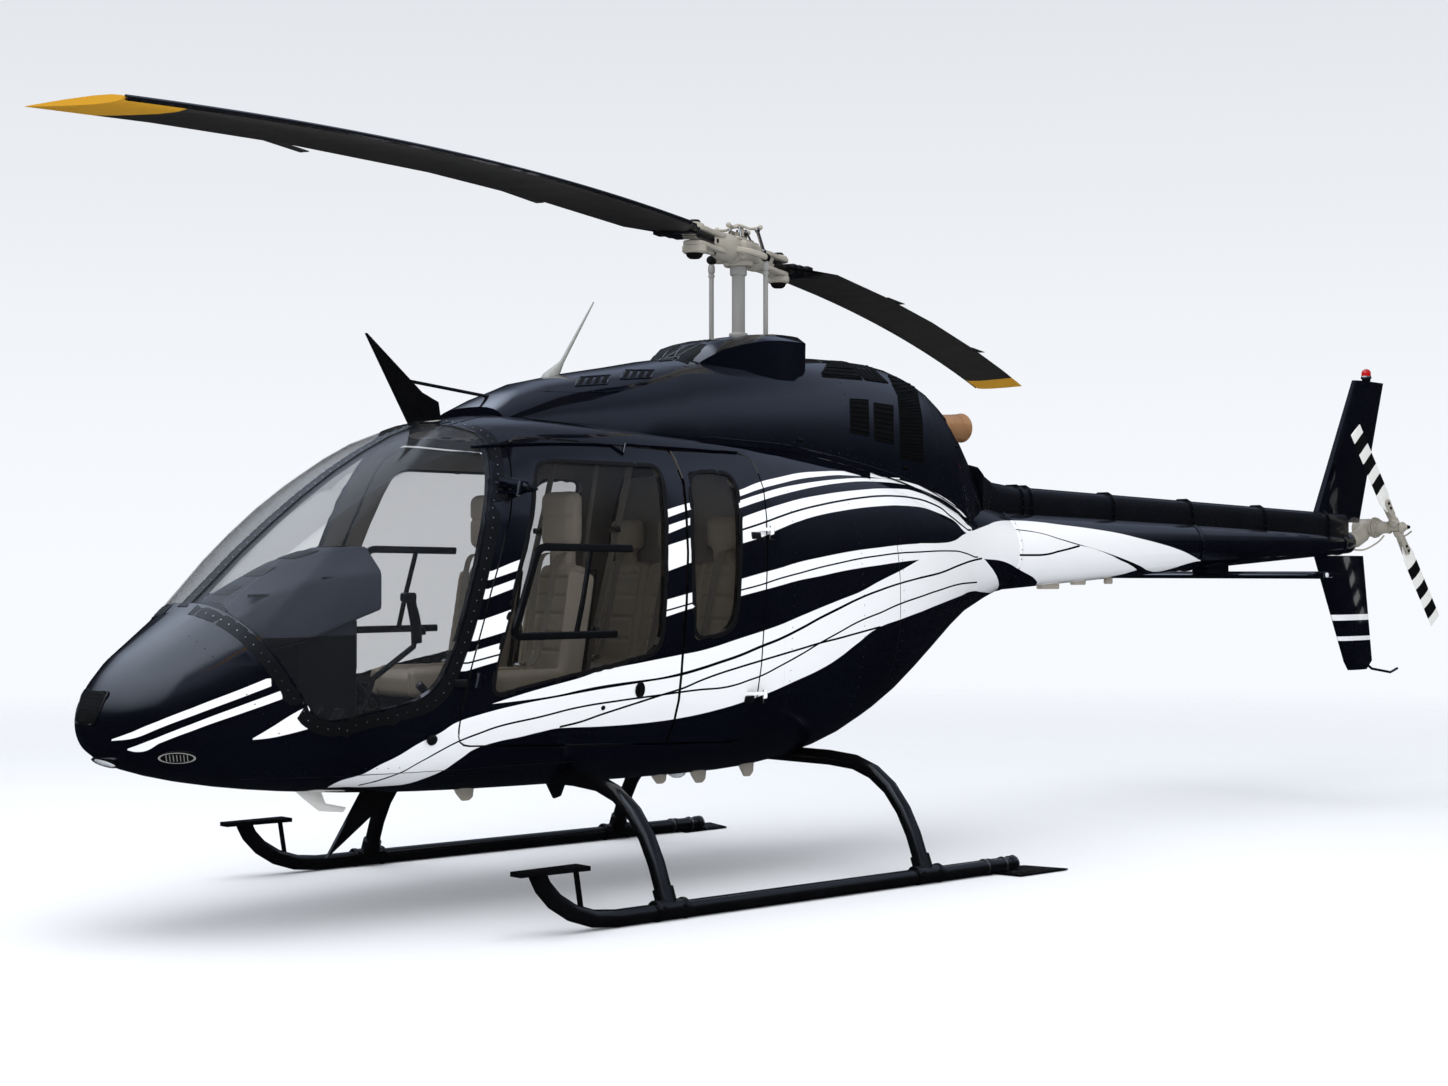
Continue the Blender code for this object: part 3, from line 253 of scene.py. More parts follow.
BAND_4 = ([(-2.993, 1.152), (-2.842, 1.187), (-1.928, 1.363), (-1.777, 1.394), (-1.454, 1.458),
           (-1.329, 1.484), (-1.194, 1.510), (-1.054, 1.540), (-0.908, 1.562), (-0.754, 1.583),
           (-0.592, 1.601), (-0.422, 1.615), (-0.236, 1.629), (-0.036, 1.639)],
          [(-3.017, 1.071), (-2.862, 1.106), (-1.930, 1.286), (-1.779, 1.321), (-1.459, 1.378),
           (-1.334, 1.401), (-1.200, 1.426), (-1.060, 1.452), (-0.915, 1.471), (-0.762, 1.493),
           (-0.603, 1.511), (-0.433, 1.526), (-0.248, 1.542), (-0.030, 1.556)],
          -3.060, -0.040)
SWOOSH_WEDGE = ([(-2.880, 0.926), (-2.789, 0.948), (-2.634, 0.982), (-2.420, 1.023), (-2.309, 1.050),
                 (-2.078, 1.080), (-1.840, 1.110), (-1.718, 1.125), (-1.467, 1.178), (-1.205, 1.237),
                 (-1.067, 1.276), (-0.923, 1.315), (-0.773, 1.353), (-0.614, 1.391), (-0.442, 1.445),
                 (-0.254, 1.496), (-0.048, 1.556)],
                [(-2.880, 0.926), (-2.788, 0.931), (-2.631, 0.942), (-2.523, 0.953), (-2.415, 0.969),
                 (-2.304, 0.983), (-2.190, 0.993), (-2.074, 1.001), (-1.956, 1.010), (-1.838, 1.027),
                 (-1.718, 1.049), (-1.594, 1.076), (-1.467, 1.105), (-1.337, 1.142), (-1.205, 1.177),
                 (-1.067, 1.222), (-0.923, 1.273), (-0.773, 1.320), (-0.614, 1.366), (-0.445, 1.404),
                 (-0.259, 1.437), (-0.056, 1.465)],
                -2.878, -0.040)
SWOOSH = ([(-3.487, 0.595), (-3.471, 0.615), (-3.409, 0.640), (-3.351, 0.683), (-3.281, 0.723),
           (-3.207, 0.772), (-3.120, 0.811), (-3.042, 0.855), (-2.938, 0.882), (-2.735, 0.918),
           (-2.523, 0.943), (-2.302, 0.968), (-2.074, 0.989), (-1.838, 1.013), (-1.718, 1.035),
           (-1.594, 1.062), (-1.467, 1.091), (-1.337, 1.128), (-1.205, 1.163), (-1.067, 1.208),
           (-0.923, 1.259), (-0.773, 1.306), (-0.614, 1.354), (-0.445, 1.393), (-0.259, 1.427),
           (-0.056, 1.455)],
          [(-3.406, 0.581), (-3.297, 0.575), (-3.165, 0.577), (-3.102, 0.599), (-3.037, 0.633),
           (-2.976, 0.689), (-2.920, 0.731), (-2.803, 0.760), (-2.702, 0.773), (-2.602, 0.790),
           (-2.490, 0.803), (-2.272, 0.799), (-2.041, 0.802), (-1.805, 0.816), (-1.565, 0.848),
           (-1.320, 0.900), (-1.057, 0.973), (-0.915, 1.014), (-0.767, 1.071), (-0.631, 1.137),
           (-0.445, 1.213), (-0.259, 1.247), (-0.050, 1.282)],
          -3.480, -0.040)
TAIL_END = ([(-0.060, 1.640), (0.187, 1.644), (0.306, 1.651), (0.505, 1.697), (0.638, 1.721), (0.772, 1.745),
             (0.982, 1.778), (1.200, 1.784)],
            [(-0.060, 1.280), (0.182, 1.321), (0.444, 1.360), (0.667, 1.385), (0.760, 1.380), (1.200, 1.360)],
            -0.045, 1.200)
DIVIDERS = [([(-1.428, 1.690), (-1.299, 1.721), (-1.155, 1.759), (-1.003, 1.794), (-0.844, 1.822),
              (-0.680, 1.846), (-0.507, 1.866), (-0.318, 1.881), (-0.170, 1.885), (-0.018, 1.882),
              (0.187, 1.853), (0.376, 1.787), (0.553, 1.720)], 0.005, -1.440, 0.590),
            ([(-3.007, 1.105), (-2.850, 1.137), (-1.930, 1.313), (-1.779, 1.344), (-1.457, 1.406),
              (-1.333, 1.429), (-1.198, 1.460), (-1.058, 1.486), (-0.912, 1.513), (-0.759, 1.536),
              (-0.598, 1.558), (-0.429, 1.574), (-0.243, 1.588), (-0.043, 1.595), (0.179, 1.602),
              (0.356, 1.603), (0.476, 1.593), (0.601, 1.572)], 0.004, -3.060, 0.640),
            ([(-3.355, 0.588), (-3.296, 0.610), (-3.233, 0.640), (-3.170, 0.686), (-3.095, 0.731),
              (-3.009, 0.773), (-2.920, 0.801), (-2.823, 0.827), (-2.618, 0.858), (-2.407, 0.893),
              (-2.183, 0.913), (-1.950, 0.929), (-1.708, 0.945), (-1.584, 0.948), (-1.490, 0.959),
              (-1.396, 0.980), (-1.328, 0.996), (-1.203, 1.040), (-1.067, 1.089), (-0.923, 1.144),
              (-0.773, 1.195), (-0.614, 1.246), (-0.445, 1.284), (-0.259, 1.327), (-0.056, 1.361),
              (0.167, 1.395), (0.419, 1.425), (0.640, 1.433)], 0.0045, -3.360, 0.660),
            ([(-2.498, 0.808), (-2.391, 0.825), (-2.284, 0.852), (-2.176, 0.877), (-2.065, 0.902),
              (-1.949, 0.927), (-1.812, 0.956), (-1.713, 0.986), (-1.591, 1.017), (-1.467, 1.043),
              (-1.337, 1.068), (-1.205, 1.093), (-1.067, 1.118), (-0.923, 1.144), (-0.773, 1.165),
              (-0.615, 1.189), (-0.445, 1.213)], 0.005, -2.500, -0.440),
            ([(-0.056, 1.460), (0.167, 1.485), (0.410, 1.528), (0.576, 1.553), (0.700, 1.566)], 0.0055,
             -0.060, 0.690),]
NOSE_BANDS = [
    ([(-4.378, 0.821), (-4.272, 0.883), (-4.102, 0.958), (-3.958, 1.017), (-3.860, 1.060)],
     [(-4.378, 0.815), (-4.329, 0.824), (-4.241, 0.868), (-4.103, 0.926), (-3.959, 0.983), (-3.843, 1.030)],
     -4.376, -3.845),
    ([(-4.328, 0.783), (-4.238, 0.834), (-4.103, 0.894), (-3.960, 0.951), (-3.815, 1.008)],
     [(-4.328, 0.778), (-4.292, 0.770), (-4.234, 0.807), (-4.103, 0.866), (-3.960, 0.919), (-3.800, 0.978)],
     -4.326, -3.805),
    ([(-3.911, 0.816), (-3.842, 0.863), (-3.765, 0.914), (-3.700, 0.950)],
     [(-3.911, 0.812), (-3.845, 0.818), (-3.790, 0.829), (-3.700, 0.852)], -3.908, -3.700),
]
BOOM_UPPER = ([(0.772, 1.745), (0.982, 1.778), (1.210, 1.784), (1.389, 1.778), (1.567, 1.766), (1.748, 1.754),
               (1.933, 1.739), (2.120, 1.720), (2.307, 1.693), (2.512, 1.663), (2.727, 1.625), (2.860, 1.594),
               (2.990, 1.560)],
              [(0.700, 1.744), (1.159, 1.732), (1.337, 1.716), (1.508, 1.684), (1.694, 1.651), (1.891, 1.617),
               (2.105, 1.576), (2.355, 1.526), (2.500, 1.497), (2.600, 1.490), (2.726, 1.508), (2.886, 1.545),
               (2.990, 1.560)], 0.700, 2.988)
BOOM_LOWER = ([(0.700, 1.738), (1.159, 1.726), (1.337, 1.711), (1.508, 1.678), (1.694, 1.645), (1.771, 1.636),
               (2.000, 1.590), (2.112, 1.561), (2.240, 1.532), (2.357, 1.501)],
              [(0.700, 1.340), (1.360, 1.380), (2.035, 1.445), (2.213, 1.470), (2.357, 1.501)], 0.700, 2.355)
BOOM_LINES = [([(0.726, 1.601), (0.896, 1.596), (1.127, 1.586), (1.313, 1.587), (1.499, 1.611),
                (1.693, 1.643)], 0.006, 0.740, 1.690)]
BOOM_WEDGE = [(0.726, 1.562), (0.900, 1.554), (1.022, 1.535), (1.160, 1.501), (1.363, 1.449), (1.500, 1.400)]


WEDGE_TOP, WEDGE_SLANT, WEDGE_FRONT, WEDGE_REAR = 1.56, 1.9, 0.72, 1.48


def wedge_mask(tree, along, height):
    """The dark wedge under the root of the boom, with a slanted front edge."""
    front = maths(tree, "MULTIPLY_ADD", maths(tree, "SUBTRACT", WEDGE_TOP, height), WEDGE_SLANT, WEDGE_FRONT)
    low = under(tree, height, edge_curve(tree, along, BOOM_WEDGE))
    return maths(tree, "MULTIPLY", low, maths(tree, "MULTIPLY", under(tree, front, along),
                                              under(tree, along, WEDGE_REAR)))


def livery(material, bands, lines):
    """Paints the white bands over the topcoat, less the dividers and the dark wedge."""
    tree = material.node_tree
    _, along, height = object_axes(material)
    bare = maths(tree, "SUBTRACT", 1.0, wedge_mask(tree, along, height))
    mask = maths(tree, "MULTIPLY", stripe_mask(tree, along, height, bands, lines), bare)
    overlay(material, mask, WHITE)
    return material


def ring_bands(material, axis, rings, colour):
    """Bands of colour between pairs of places along one axis."""
    tree = material.node_tree
    place = object_axes(material)[axis]
    overlay(material, highest(tree, [stretch(tree, place, low, high) for low, high in rings]), colour)
    return material


# Navy polyurethane topcoat, sprayed and polished: near black, with the wet shine of its clear coat
NAVY = dict(colour="#05060D", roughness=0.14, second="#0A0C18", Coat_Weight=1.0, Coat_Roughness=0.02)
cabin_paint = finish("navy_topcoat_striped", **NAVY)
livery(cabin_paint, [BAND_1, BAND_2, BAND_3, BAND_4, SWOOSH_WEDGE, SWOOSH, TAIL_END, *NOSE_BANDS], DIVIDERS)
trim_inside(cabin_paint, "#6E6B67")
boom_paint = livery(finish("navy_topcoat_boom", **NAVY), [BOOM_UPPER, BOOM_LOWER], BOOM_LINES)
cowl_paint = finish("navy_topcoat_plain", **NAVY)
fin_paint = ring_bands(finish("navy_topcoat_fin", **NAVY), 2, [(1.155, 1.195), (1.015, 1.045)], WHITE)
# Near-black polyurethane on the tail shaft cover: satin, with a softer shine than the body
cover_paint = finish("satin_cover_paint", "#07080C", 0.24, "#0C0E14", Coat_Weight=0.7, Coat_Roughness=0.06)
# Gloss black polyurethane on the landing gear, dulled by dust
gear_paint = finish("gloss_black_gear_paint", "#060607", 0.22, "#101113", tone_mm=150, Coat_Weight=0.5)
# Black enamelled aluminium extrusion of the vent frames and the intake rim: glossy
gloss_trim = finish("gloss_black_extrusion", "#08090B", 0.22, "#0F1013", tone_mm=120, Coat_Weight=0.4)
# Powder-coated trim round the glass, hinge covers and knobs: matt black, with a fine grain
trim_black = finish("matt_black_trim", "#0A0B0E", 0.42, "#111318", grain_mm=1.5, grain=0.15)
# Black rubber, extruded: dull, with a faint mould grain
rubber = finish("extruded_black_rubber", "#0B0B0C", 0.55, "#151516", grain_mm=1.2, grain=0.2)
# White epoxy paint on small metal pieces: even satin
white_paint = finish("white_epoxy_paint", "#E9E8E4", 0.35, "#DAD8D2", tone_mm=120)
# Fibreglass blade skin under dark grey polyurethane: satin, with streaks along the span
blade_paint = finish("dark_grey_blade_paint", "#343230", 0.36, "#282725", tone_mm=500)


def reach_bands(material, centre, axes, rings, colour):
    """Bands of colour between pairs of distances from a centre."""
    tree = material.node_tree
    place = object_axes(material)
    parts = [maths(tree, "POWER", maths(tree, "SUBTRACT", place[axis], centre[axis]), 2.0) for axis in axes]
    away = maths(tree, "SQRT", maths(tree, "ADD", parts[0], parts[1]))
    overlay(material, highest(tree, [stretch(tree, away, low, high) for low, high in rings]), colour)
    return material


# Its yellow tips and black roots, set by the distance from the mast
reach_bands(blade_paint, at(0, 0, 0), (0, 1), [(4.985, 9.0)], "#C8921A")
reach_bands(blade_paint, at(0, 0, 0), (0, 1), [(0.0, 0.93)], "#08080B")
# White epoxy paint on the tail blades: satin, with three black warning bands
tail_blade_paint = finish("white_tail_blade_paint", "#E9E8E4", 0.32, "#DDDBD5", tone_mm=120)
reach_bands(tail_blade_paint, TAIL_HUB, (1, 2), [(0.330, 0.420), (0.500, 0.590), (0.670, 0.760)], "#0C0C0E")
# Gloss black polyurethane on the blade roots and leading edges: wet-looking
blade_gloss = finish("gloss_blade_edge", "#0B0B0E", 0.20, "#16161A", tone_mm=200, Coat_Weight=0.6)
# Louvre slats in black stove enamel: nearly matt, a touch lighter than the painted shade behind them
cowl_slat = finish("satin_louvre_slats", "#070708", 0.60, "#0C0C0E", tone_mm=90, Specular_IOR_Level=0.15)
# Light grey primer on forged aluminium: warm grey, almost matt
hub_primer = finish("grey_primer_on_forging", "#A09B90", 0.40, "#8C877C", tone_mm=90, grain_mm=2.5,
                    grain=0.25)
# Turned steel, ground smooth
ground_steel = finish("ground_steel", "#B8B6B2", 0.28, "#9E9C98", tone_mm=60, Metallic=1.0)
# Grey dry-film coating on the mast and the pitch links: even and nearly matt
mast_coating = finish("grey_mast_coating", "#9B9B98", 0.38, "#8A8A87", tone_mm=120, Metallic=0.2)
# Cadmium plated fasteners: dark straw grey
plated = finish("plated_fastener_steel", "#4A4845", 0.40, "#343331", tone_mm=20, Metallic=1.0)
# Bare fastener heads in the black trim: pale points of light
rivet_steel = finish("bare_rivet_heads", "#C9CBD0", 0.30, "#A8AAB0", tone_mm=20, Metallic=1.0)
# Heat-tinted stainless steel of the exhaust: pale bronze with darker scorched patches
exhaust_steel = finish("heat_tinted_stainless", "#C4946A", 0.30, "#A87850", tone_mm=140, tone=0.5,
                       Metallic=0.55)
# Soot on steel, inside the exhaust and on greasy nuts: black and matt
soot = finish("sooted_steel", "#0A0908", 0.70, "#15110E", tone_mm=60)
# Grey-beige aircraft leather: soft sheen over a fine pebble grain
leather = finish("grey_beige_leather", "#9C9385", 0.50, "#857C6F", tone_mm=160, grain_mm=4.0, grain=0.5,
                 Sheen_Weight=0.15)
# Textured ABS of the console, bezels and armrests: dark, with a moulded grain
console_abs = finish("moulded_dark_abs", "#0E0F11", 0.50, "#141518", grain_mm=2.5, grain=0.35)
# Blue-grey ABS of the instrument hood: the same grain, with painted shade in near black below its lip
grey_hood_with_painted_shade = finish("moulded_grey_hood_shaded_below", "#3A3E49", 0.50, "#444955", grain_mm=2.5, grain=0.35)
HOOD_SHADE_TOP_Z = 1.215
# Painted shade: near black over the hood and its pedestal below the lip
overlay(grey_hood_with_painted_shade, under(grey_hood_with_painted_shade.node_tree, object_axes(grey_hood_with_painted_shade)[2], HOOD_SHADE_TOP_Z), "#08080A")
# Headliner of pressed felt: pale grey and matt
headliner = finish("pressed_felt_lining", "#8E8B86", 0.9, "#7E7B76", grain_mm=3.0, grain=0.4,
                   Sheen_Weight=0.3)
# Loop carpet: short dark piles, no shine
carpet = finish("loop_carpet", "#24221F", 0.95, "#171614", tone_mm=60, grain_mm=6.0, grain=1.0,
                Sheen_Weight=0.2)
# Woven polyester webbing of the harness
webbing = finish("woven_webbing", "#77736B", 0.8, "#66625B", grain_mm=3.0, grain=0.8)
# Beige glass-filled nylon of the belly antennas
antenna_beige = finish("beige_nylon", "#A39C90", 0.5, "#8F887C", tone_mm=60)
# Coated glass of the instrument screens, switched off: black and mirror smooth
screen_glass = finish("dark_display_glass", "#07080A", 0.08, "#0B0D10", Coat_Weight=1.0)
# Red glass of the beacon: deep red and glossy
red_lens = finish("red_lens", "#B5120C", 0.12, "#8E0E0A", tone_mm=30, Coat_Weight=1.0)
# Clear glass of the lamps over pale reflectors: bright and glossy
clear_lens = finish("clear_lens", "#D8DCE0", 0.06, "#BFC4CA", tone_mm=30, Coat_Weight=1.0)
# Black wire mesh, and painted shade: the dark sheets that fill the openings behind grilles, louvres and
# slots; matt, with a coarse weave
mesh_and_painted_shade = finish("black_mesh_and_painted_shade", "#080807", 0.6, "#0D0C0A", tone_mm=30, grain_mm=4.0, grain=1.0,
                      Specular_IOR_Level=0.2)


def acrylic(name, colour, least, most):
    """Stretched acrylic sheet: a faint tint face on, and a mirror at a glancing angle."""
    material = finish(name, colour, 0.03, colour, rough_spread=0.01, Coat_Weight=1.0, Coat_Roughness=0.0)
    tree = material.node_tree
    rim = node(tree, "ShaderNodeLayerWeight", {"Blend": 0.22}).outputs["Fresnel"]
    tree.links.new(mapped(tree, rim, 0.0, 1.0, least, most), tree.nodes["Principled BSDF"].inputs["Alpha"])
    return material


# Clear acrylic of the windshield: grey tint, glossy
windshield_acrylic = acrylic("clear_acrylic", "#3A3D42", 0.10, 0.45)
# Smoked acrylic of the door windows: darker brown tint, glossy
window_acrylic = acrylic("tinted_acrylic", "#1D1B18", 0.20, 0.62)

NODE_FINISH = {
    cabin_paint: "nose_cowl cabin_side_port cabin_side_starboard cabin_roof windshield_frame lower_hull "
                 "door_front_port door_front_starboard door_rear_port rear_fuselage engine_cowl",
    cowl_paint: "forward_cowl transmission_cowl mast_fairing upper_fin stabilizer",
    fin_paint: "lower_fin",
    boom_paint: "tail_boom",
    cover_paint: "shaft_cover",
    gear_paint: "skid_port skid_starboard front_cross_tube rear_cross_tube upper_wire_cutter "
                "lower_wire_cutter",
    windshield_acrylic: "windshield_port windshield_starboard",
    window_acrylic: "window_front_port window_front_starboard window_rear_port window_rear_starboard",
    tail_blade_paint: "tail_blade_upper tail_blade_lower",
    blade_paint: "rotor_blade_port rotor_blade_starboard",
    hub_primer: "rotor_hub tail_gearbox tail_rotor_hub swashplate",
    mast_coating: "mast pitch_link_port pitch_link_starboard whip_antenna",
    exhaust_steel: "exhaust_stack",
    plated: "engine_block transmission_housing",
    leather: "seat_front_port seat_front_starboard seat_rear",
    console_abs: "instrument_console cyclic_port cyclic_starboard",
    carpet: "cabin_floor",
}
for material, names in NODE_FINISH.items():
    for name in names.split():
        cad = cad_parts[name].data
        cad.materials.clear()
        cad.materials.append(material)


# Studio

def gradient(tree, place, stops, tint):
    """Light between pairs of height and strength, tinted."""
    ramp = node(tree, "ShaderNodeValToRGB", {"Fac": place})
    ramp.color_ramp.elements[0].position, ramp.color_ramp.elements[1].position = stops[0][0], stops[-1][0]
    for position, _ in stops[1:-1]:
        ramp.color_ramp.elements.new(position)
    for element, (_, light) in zip(ramp.color_ramp.elements, stops):
        element.color = (*(light * share for share in tint), 1.0)
    return ramp.outputs["Color"]


FLOOR_RADIUS, FADE_START, FADE_END = 40.0, 6.5, 17.0
SKY_DIM = [(0.0, 0.006), (0.20, 0.012), (0.36, 0.07), (0.54, 0.28), (0.66, 0.30), (0.78, 0.15), (0.90, 0.20)]
SKY_WALL = [(0.0, 0.96), (0.07, 0.93), (0.16, 0.86), (0.27, 0.78)]


def studio_floor():
    """Pale floor that fades out into the backdrop."""
    bm = bmesh.new()
    bmesh.ops.create_circle(bm, cap_ends=True, segments=96, radius=FLOOR_RADIUS)
    mesh = bpy.data.meshes.new("studio_floor")
    bm.to_mesh(mesh)
    bm.free()
    floor = bpy.data.objects.new("studio_floor", mesh)
    bpy.context.scene.collection.objects.link(floor)
    # Painted studio floor: pale and matt
    floor_paint = finish("matt_studio_floor", "#EDEFF2", 0.85, "#EAECF0", tone_mm=4000)
    tree = floor_paint.node_tree
    reach = node(tree, "ShaderNodeVectorMath", {0: object_place(tree)}, operation="LENGTH").outputs["Value"]
    tree.links.new(mapped(tree, reach, FADE_START, FADE_END, 1.0, 0.0),
                   tree.nodes["Principled BSDF"].inputs["Alpha"])
    mesh.materials.append(floor_paint)
    floor.visible_glossy = False


def studio_sky():
    """Pale backdrop, even light, and a dim room with one tall bright panel for the paint to mirror."""
    world = bpy.data.worlds.new("soft_studio")
    bpy.context.scene.world = world
    world.use_nodes = True
    tree = world.node_tree
    ray = node(tree, "ShaderNodeTexCoord").outputs["Generated"]
    side, depth, height = node(tree, "ShaderNodeSeparateXYZ", {0: ray}).outputs[:3]
    dim = gradient(tree, height, SKY_DIM, (0.78, 0.92, 1.26))
    ahead = maths(tree, "MULTIPLY_ADD", side, -0.6, maths(tree, "MULTIPLY", depth, -0.8))
    panel = maths(tree, "MULTIPLY", mapped(tree, ahead, 0.10, 0.17), mapped(tree, height, 0.30, 0.80))
    shine = mixed(tree, panel, dim, (1.25, 1.42, 1.70, 1.0))
    wall = gradient(tree, height, SKY_WALL, (0.975, 1.0, 1.045))
    path = node(tree, "ShaderNodeLightPath")
    light = mixed(tree, path.outputs["Is Glossy Ray"], linear("#F4F6FA"), shine)
    background = tree.nodes["Background"]
    tree.links.new(mixed(tree, path.outputs["Is Camera Ray"], light, wall), background.inputs["Color"])
    background.inputs["Strength"].default_value = 1.0


def softbox(name, place, aim, size, power):
    """A soft area light that no glossy surface mirrors."""
    light = bpy.data.lights.new(name, "AREA")
    light.shape, light.size, light.size_y = "RECTANGLE", size[0], size[1]
    light.energy = power
    obj = bpy.data.objects.new(name, light)
    obj.location = place
    obj.rotation_euler = (Vector(aim) - Vector(place)).to_track_quat("-Z", "Y").to_euler()
    obj.visible_glossy = False
    bpy.context.scene.collection.objects.link(obj)


def camera():
    """The photograph's own viewpoint."""
    data = bpy.data.cameras.new("camera")
    data.lens, data.sensor_width = LENS_MM, SENSOR_MM
    data.clip_start, data.clip_end = 0.1, 200.0
    obj = bpy.data.objects.new("camera", data)
    obj.location = EYE
    obj.rotation_euler = (PITCH, 0, YAW)
    bpy.context.scene.collection.objects.link(obj)
    bpy.context.scene.camera = obj


bpy.context.scene.view_settings.view_transform = "Standard"
camera()
studio_floor()
studio_sky()
softbox("overhead", (1.0, -3.0, 9.0), (0, 0, 1), (10.0, 8.0), 550)
softbox("port_fill", (9.0, -9.0, 3.5), (0, -1.5, 1.4), (5.0, 3.0), 260)


GENTLE_BEND = math.radians(32)
WELD = 1e-5


def smoothing():
    """Node group that joins the split corners of a CAD mesh and shades its gentle bends smooth."""
    group = bpy.data.node_groups.new("smooth_bends", "GeometryNodeTree")
    group.interface.new_socket("Geometry", in_out="INPUT", socket_type="NodeSocketGeometry")
    group.interface.new_socket("Geometry", in_out="OUTPUT", socket_type="NodeSocketGeometry")
    start = group.nodes.new("NodeGroupInput").outputs[0]
    merged = node(group, "GeometryNodeMergeByDistance", {"Geometry": start, "Distance": WELD}).outputs[0]
    bare = node(group, "GeometryNodeRemoveAttribute",
                {"Geometry": merged, "Name": "custom_normal"}).outputs[0]
    angle = node(group, "GeometryNodeInputMeshEdgeAngle").outputs["Unsigned Angle"]
    gentle = node(group, "FunctionNodeCompare", {0: angle, 1: GENTLE_BEND}, data_type="FLOAT",
                  operation="LESS_THAN").outputs[0]
    faces = node(group, "GeometryNodeSetShadeSmooth", {"Geometry": bare, "Shade Smooth": True},
                 domain="FACE").outputs[0]
    edges = node(group, "GeometryNodeSetShadeSmooth", {"Geometry": faces, "Shade Smooth": gentle},
                 domain="EDGE").outputs[0]
    end = group.nodes.new("NodeGroupOutput")
    group.links.new(edges, end.inputs[0])
    return group


shading = smoothing()
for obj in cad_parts.values():
    obj.modifiers.new("smooth_bends", "NODES").node_group = shading


# Mesh helpers

FLIP = Matrix.Rotation(math.pi, 4, "X")
QUARTER_X = Matrix.Rotation(math.pi / 2, 4, "X")
ALONG_BODY = Matrix.Rotation(math.pi / 2, 4, "Z") @ QUARTER_X      # stands a slab upright, facing sideways


def placed(x, y, z):
    """A frame at a point measured from the mast."""
    return Matrix.Translation(at(x, y, z))


FROM_MAST = placed(0, 0, 0)


def new_verts(bm, known):
    return [v for v in bm.verts if v not in known]


def emit(name, bm, material, body="airframe", sharp=35, mirror=False):
    """Turns the mesh into a piece that rides on a body."""
    if mirror:
        copied = bmesh.ops.duplicate(bm, geom=bm.verts[:] + bm.edges[:] + bm.faces[:])["geom"]
        flipped = [v for v in copied if isinstance(v, bmesh.types.BMVert)]
        bmesh.ops.scale(bm, vec=(-1, 1, 1), verts=flipped)
    bmesh.ops.recalc_face_normals(bm, faces=bm.faces)
    mesh = bpy.data.meshes.new(name)
    bm.to_mesh(mesh)
    bm.free()
    mesh.shade_smooth()
    mesh.set_sharp_from_angle(angle=math.radians(sharp))
    mesh.materials.append(material)
    obj = bpy.data.objects.new(name, mesh)
    bpy.context.scene.collection.objects.link(obj)
    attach(obj, body)
    return obj


def flow(points, steps=6, closed=False):
    """A smooth curve through the points."""
    pts = [Vector(p) for p in points]
    count = len(pts)
    out = []
    for k in range(count if closed else count - 1):
        if closed:
            a, b, c, d = (pts[(k + j) % count] for j in (-1, 0, 1, 2))
        else:
            a, b, c, d = pts[max(k - 1, 0)], pts[k], pts[k + 1], pts[min(k + 2, count - 1)]
        for s in range(steps):
            t = s / steps
            out.append(0.5 * (2 * b + (c - a) * t + (2 * a - 5 * b + 4 * c - d) * t * t
                              + (3 * b - a - 3 * c + d) * t ** 3))
    if not closed:
        out.append(pts[-1])
    return out


def disc_profile(radius, sides=10):
    """The section of a round rod."""
    return [(radius * math.cos(math.tau * k / sides), radius * math.sin(math.tau * k / sides))
            for k in range(sides)]


def bar_profile(width, height, round_off=0.25):
    """A flat bar with its four corners cut."""
    w, h = width / 2, height / 2
    c = min(w, h) * round_off
    return [(w, -h + c), (w, h - c), (w - c, h), (-w + c, h), (-w, h - c), (-w, -h + c), (-w + c, -h),
            (w - c, -h)]


def heading(path, k, closed=False):
    """The way a path runs at one of its points."""
    count = len(path)
    before = path[(k - 1) % count] if closed or k else path[k]
    after = path[(k + 1) % count] if closed or k < count - 1 else path[k]
    return (after - before).normalized()


def along_path(path, up=(0, 0, 1), closed=False):
    """The point, side and rise of each place on a path."""
    pts = [Vector(p) for p in path]
    out = []
    for k, point in enumerate(pts):
        way = heading(pts, k, closed)
        side = way.cross(Vector(up))
        if side.length < 0.05:
            side = way.cross(Vector((1, 0.2, 0)))
        side.normalize()
        out.append((point, side, side.cross(way).normalized()))
    return out


def edge_ring(bm, points):
    """A closed ring of edges through the points."""
    verts = [bm.verts.new(p) for p in points]
    return [bm.edges.new((a, b)) for a, b in zip(verts, verts[1:] + verts[:1])]


def join_rings(bm, rings, closed=False):
    """Bridges each ring of edges to the next, and fills both ends of an open run."""
    pairs = list(zip(rings, rings[1:]))
    if closed:
        pairs.append((rings[-1], rings[0]))
    for first, second in pairs:
        bmesh.ops.bridge_loops(bm, edges=first + second)
    if not closed:
        for ring in (rings[0], rings[-1]):
            bmesh.ops.edgeloop_fill(bm, edges=ring)


def sweep(bm, places, profile, closed=False, scales=None):
    """Runs a closed profile along the places."""
    rings = []
    for k, (point, side, rise) in enumerate(places):
        size = scales[k] if scales else 1.0
        rings.append(edge_ring(bm, [point + side * (u * size) + rise * (v * size) for u, v in profile]))
    join_rings(bm, rings, closed)


def rod(bm, path, radius, sides=10, scales=None):
    """A round rod along a path."""
    sweep(bm, along_path(path), disc_profile(radius, sides), scales=scales)


def soften(bm, verts, bevel, segments):
    """Rounds every edge between these corners."""
    edges = list({e for v in verts for e in v.link_edges})
    bmesh.ops.bevel(bm, geom=edges, offset=bevel, segments=segments, profile=0.5, affect="EDGES", material=-1)


def move_new(bm, known, matrix):
    """Puts the corners made since a moment into their place."""
    if matrix:
        bmesh.ops.transform(bm, matrix=matrix, verts=new_verts(bm, known))


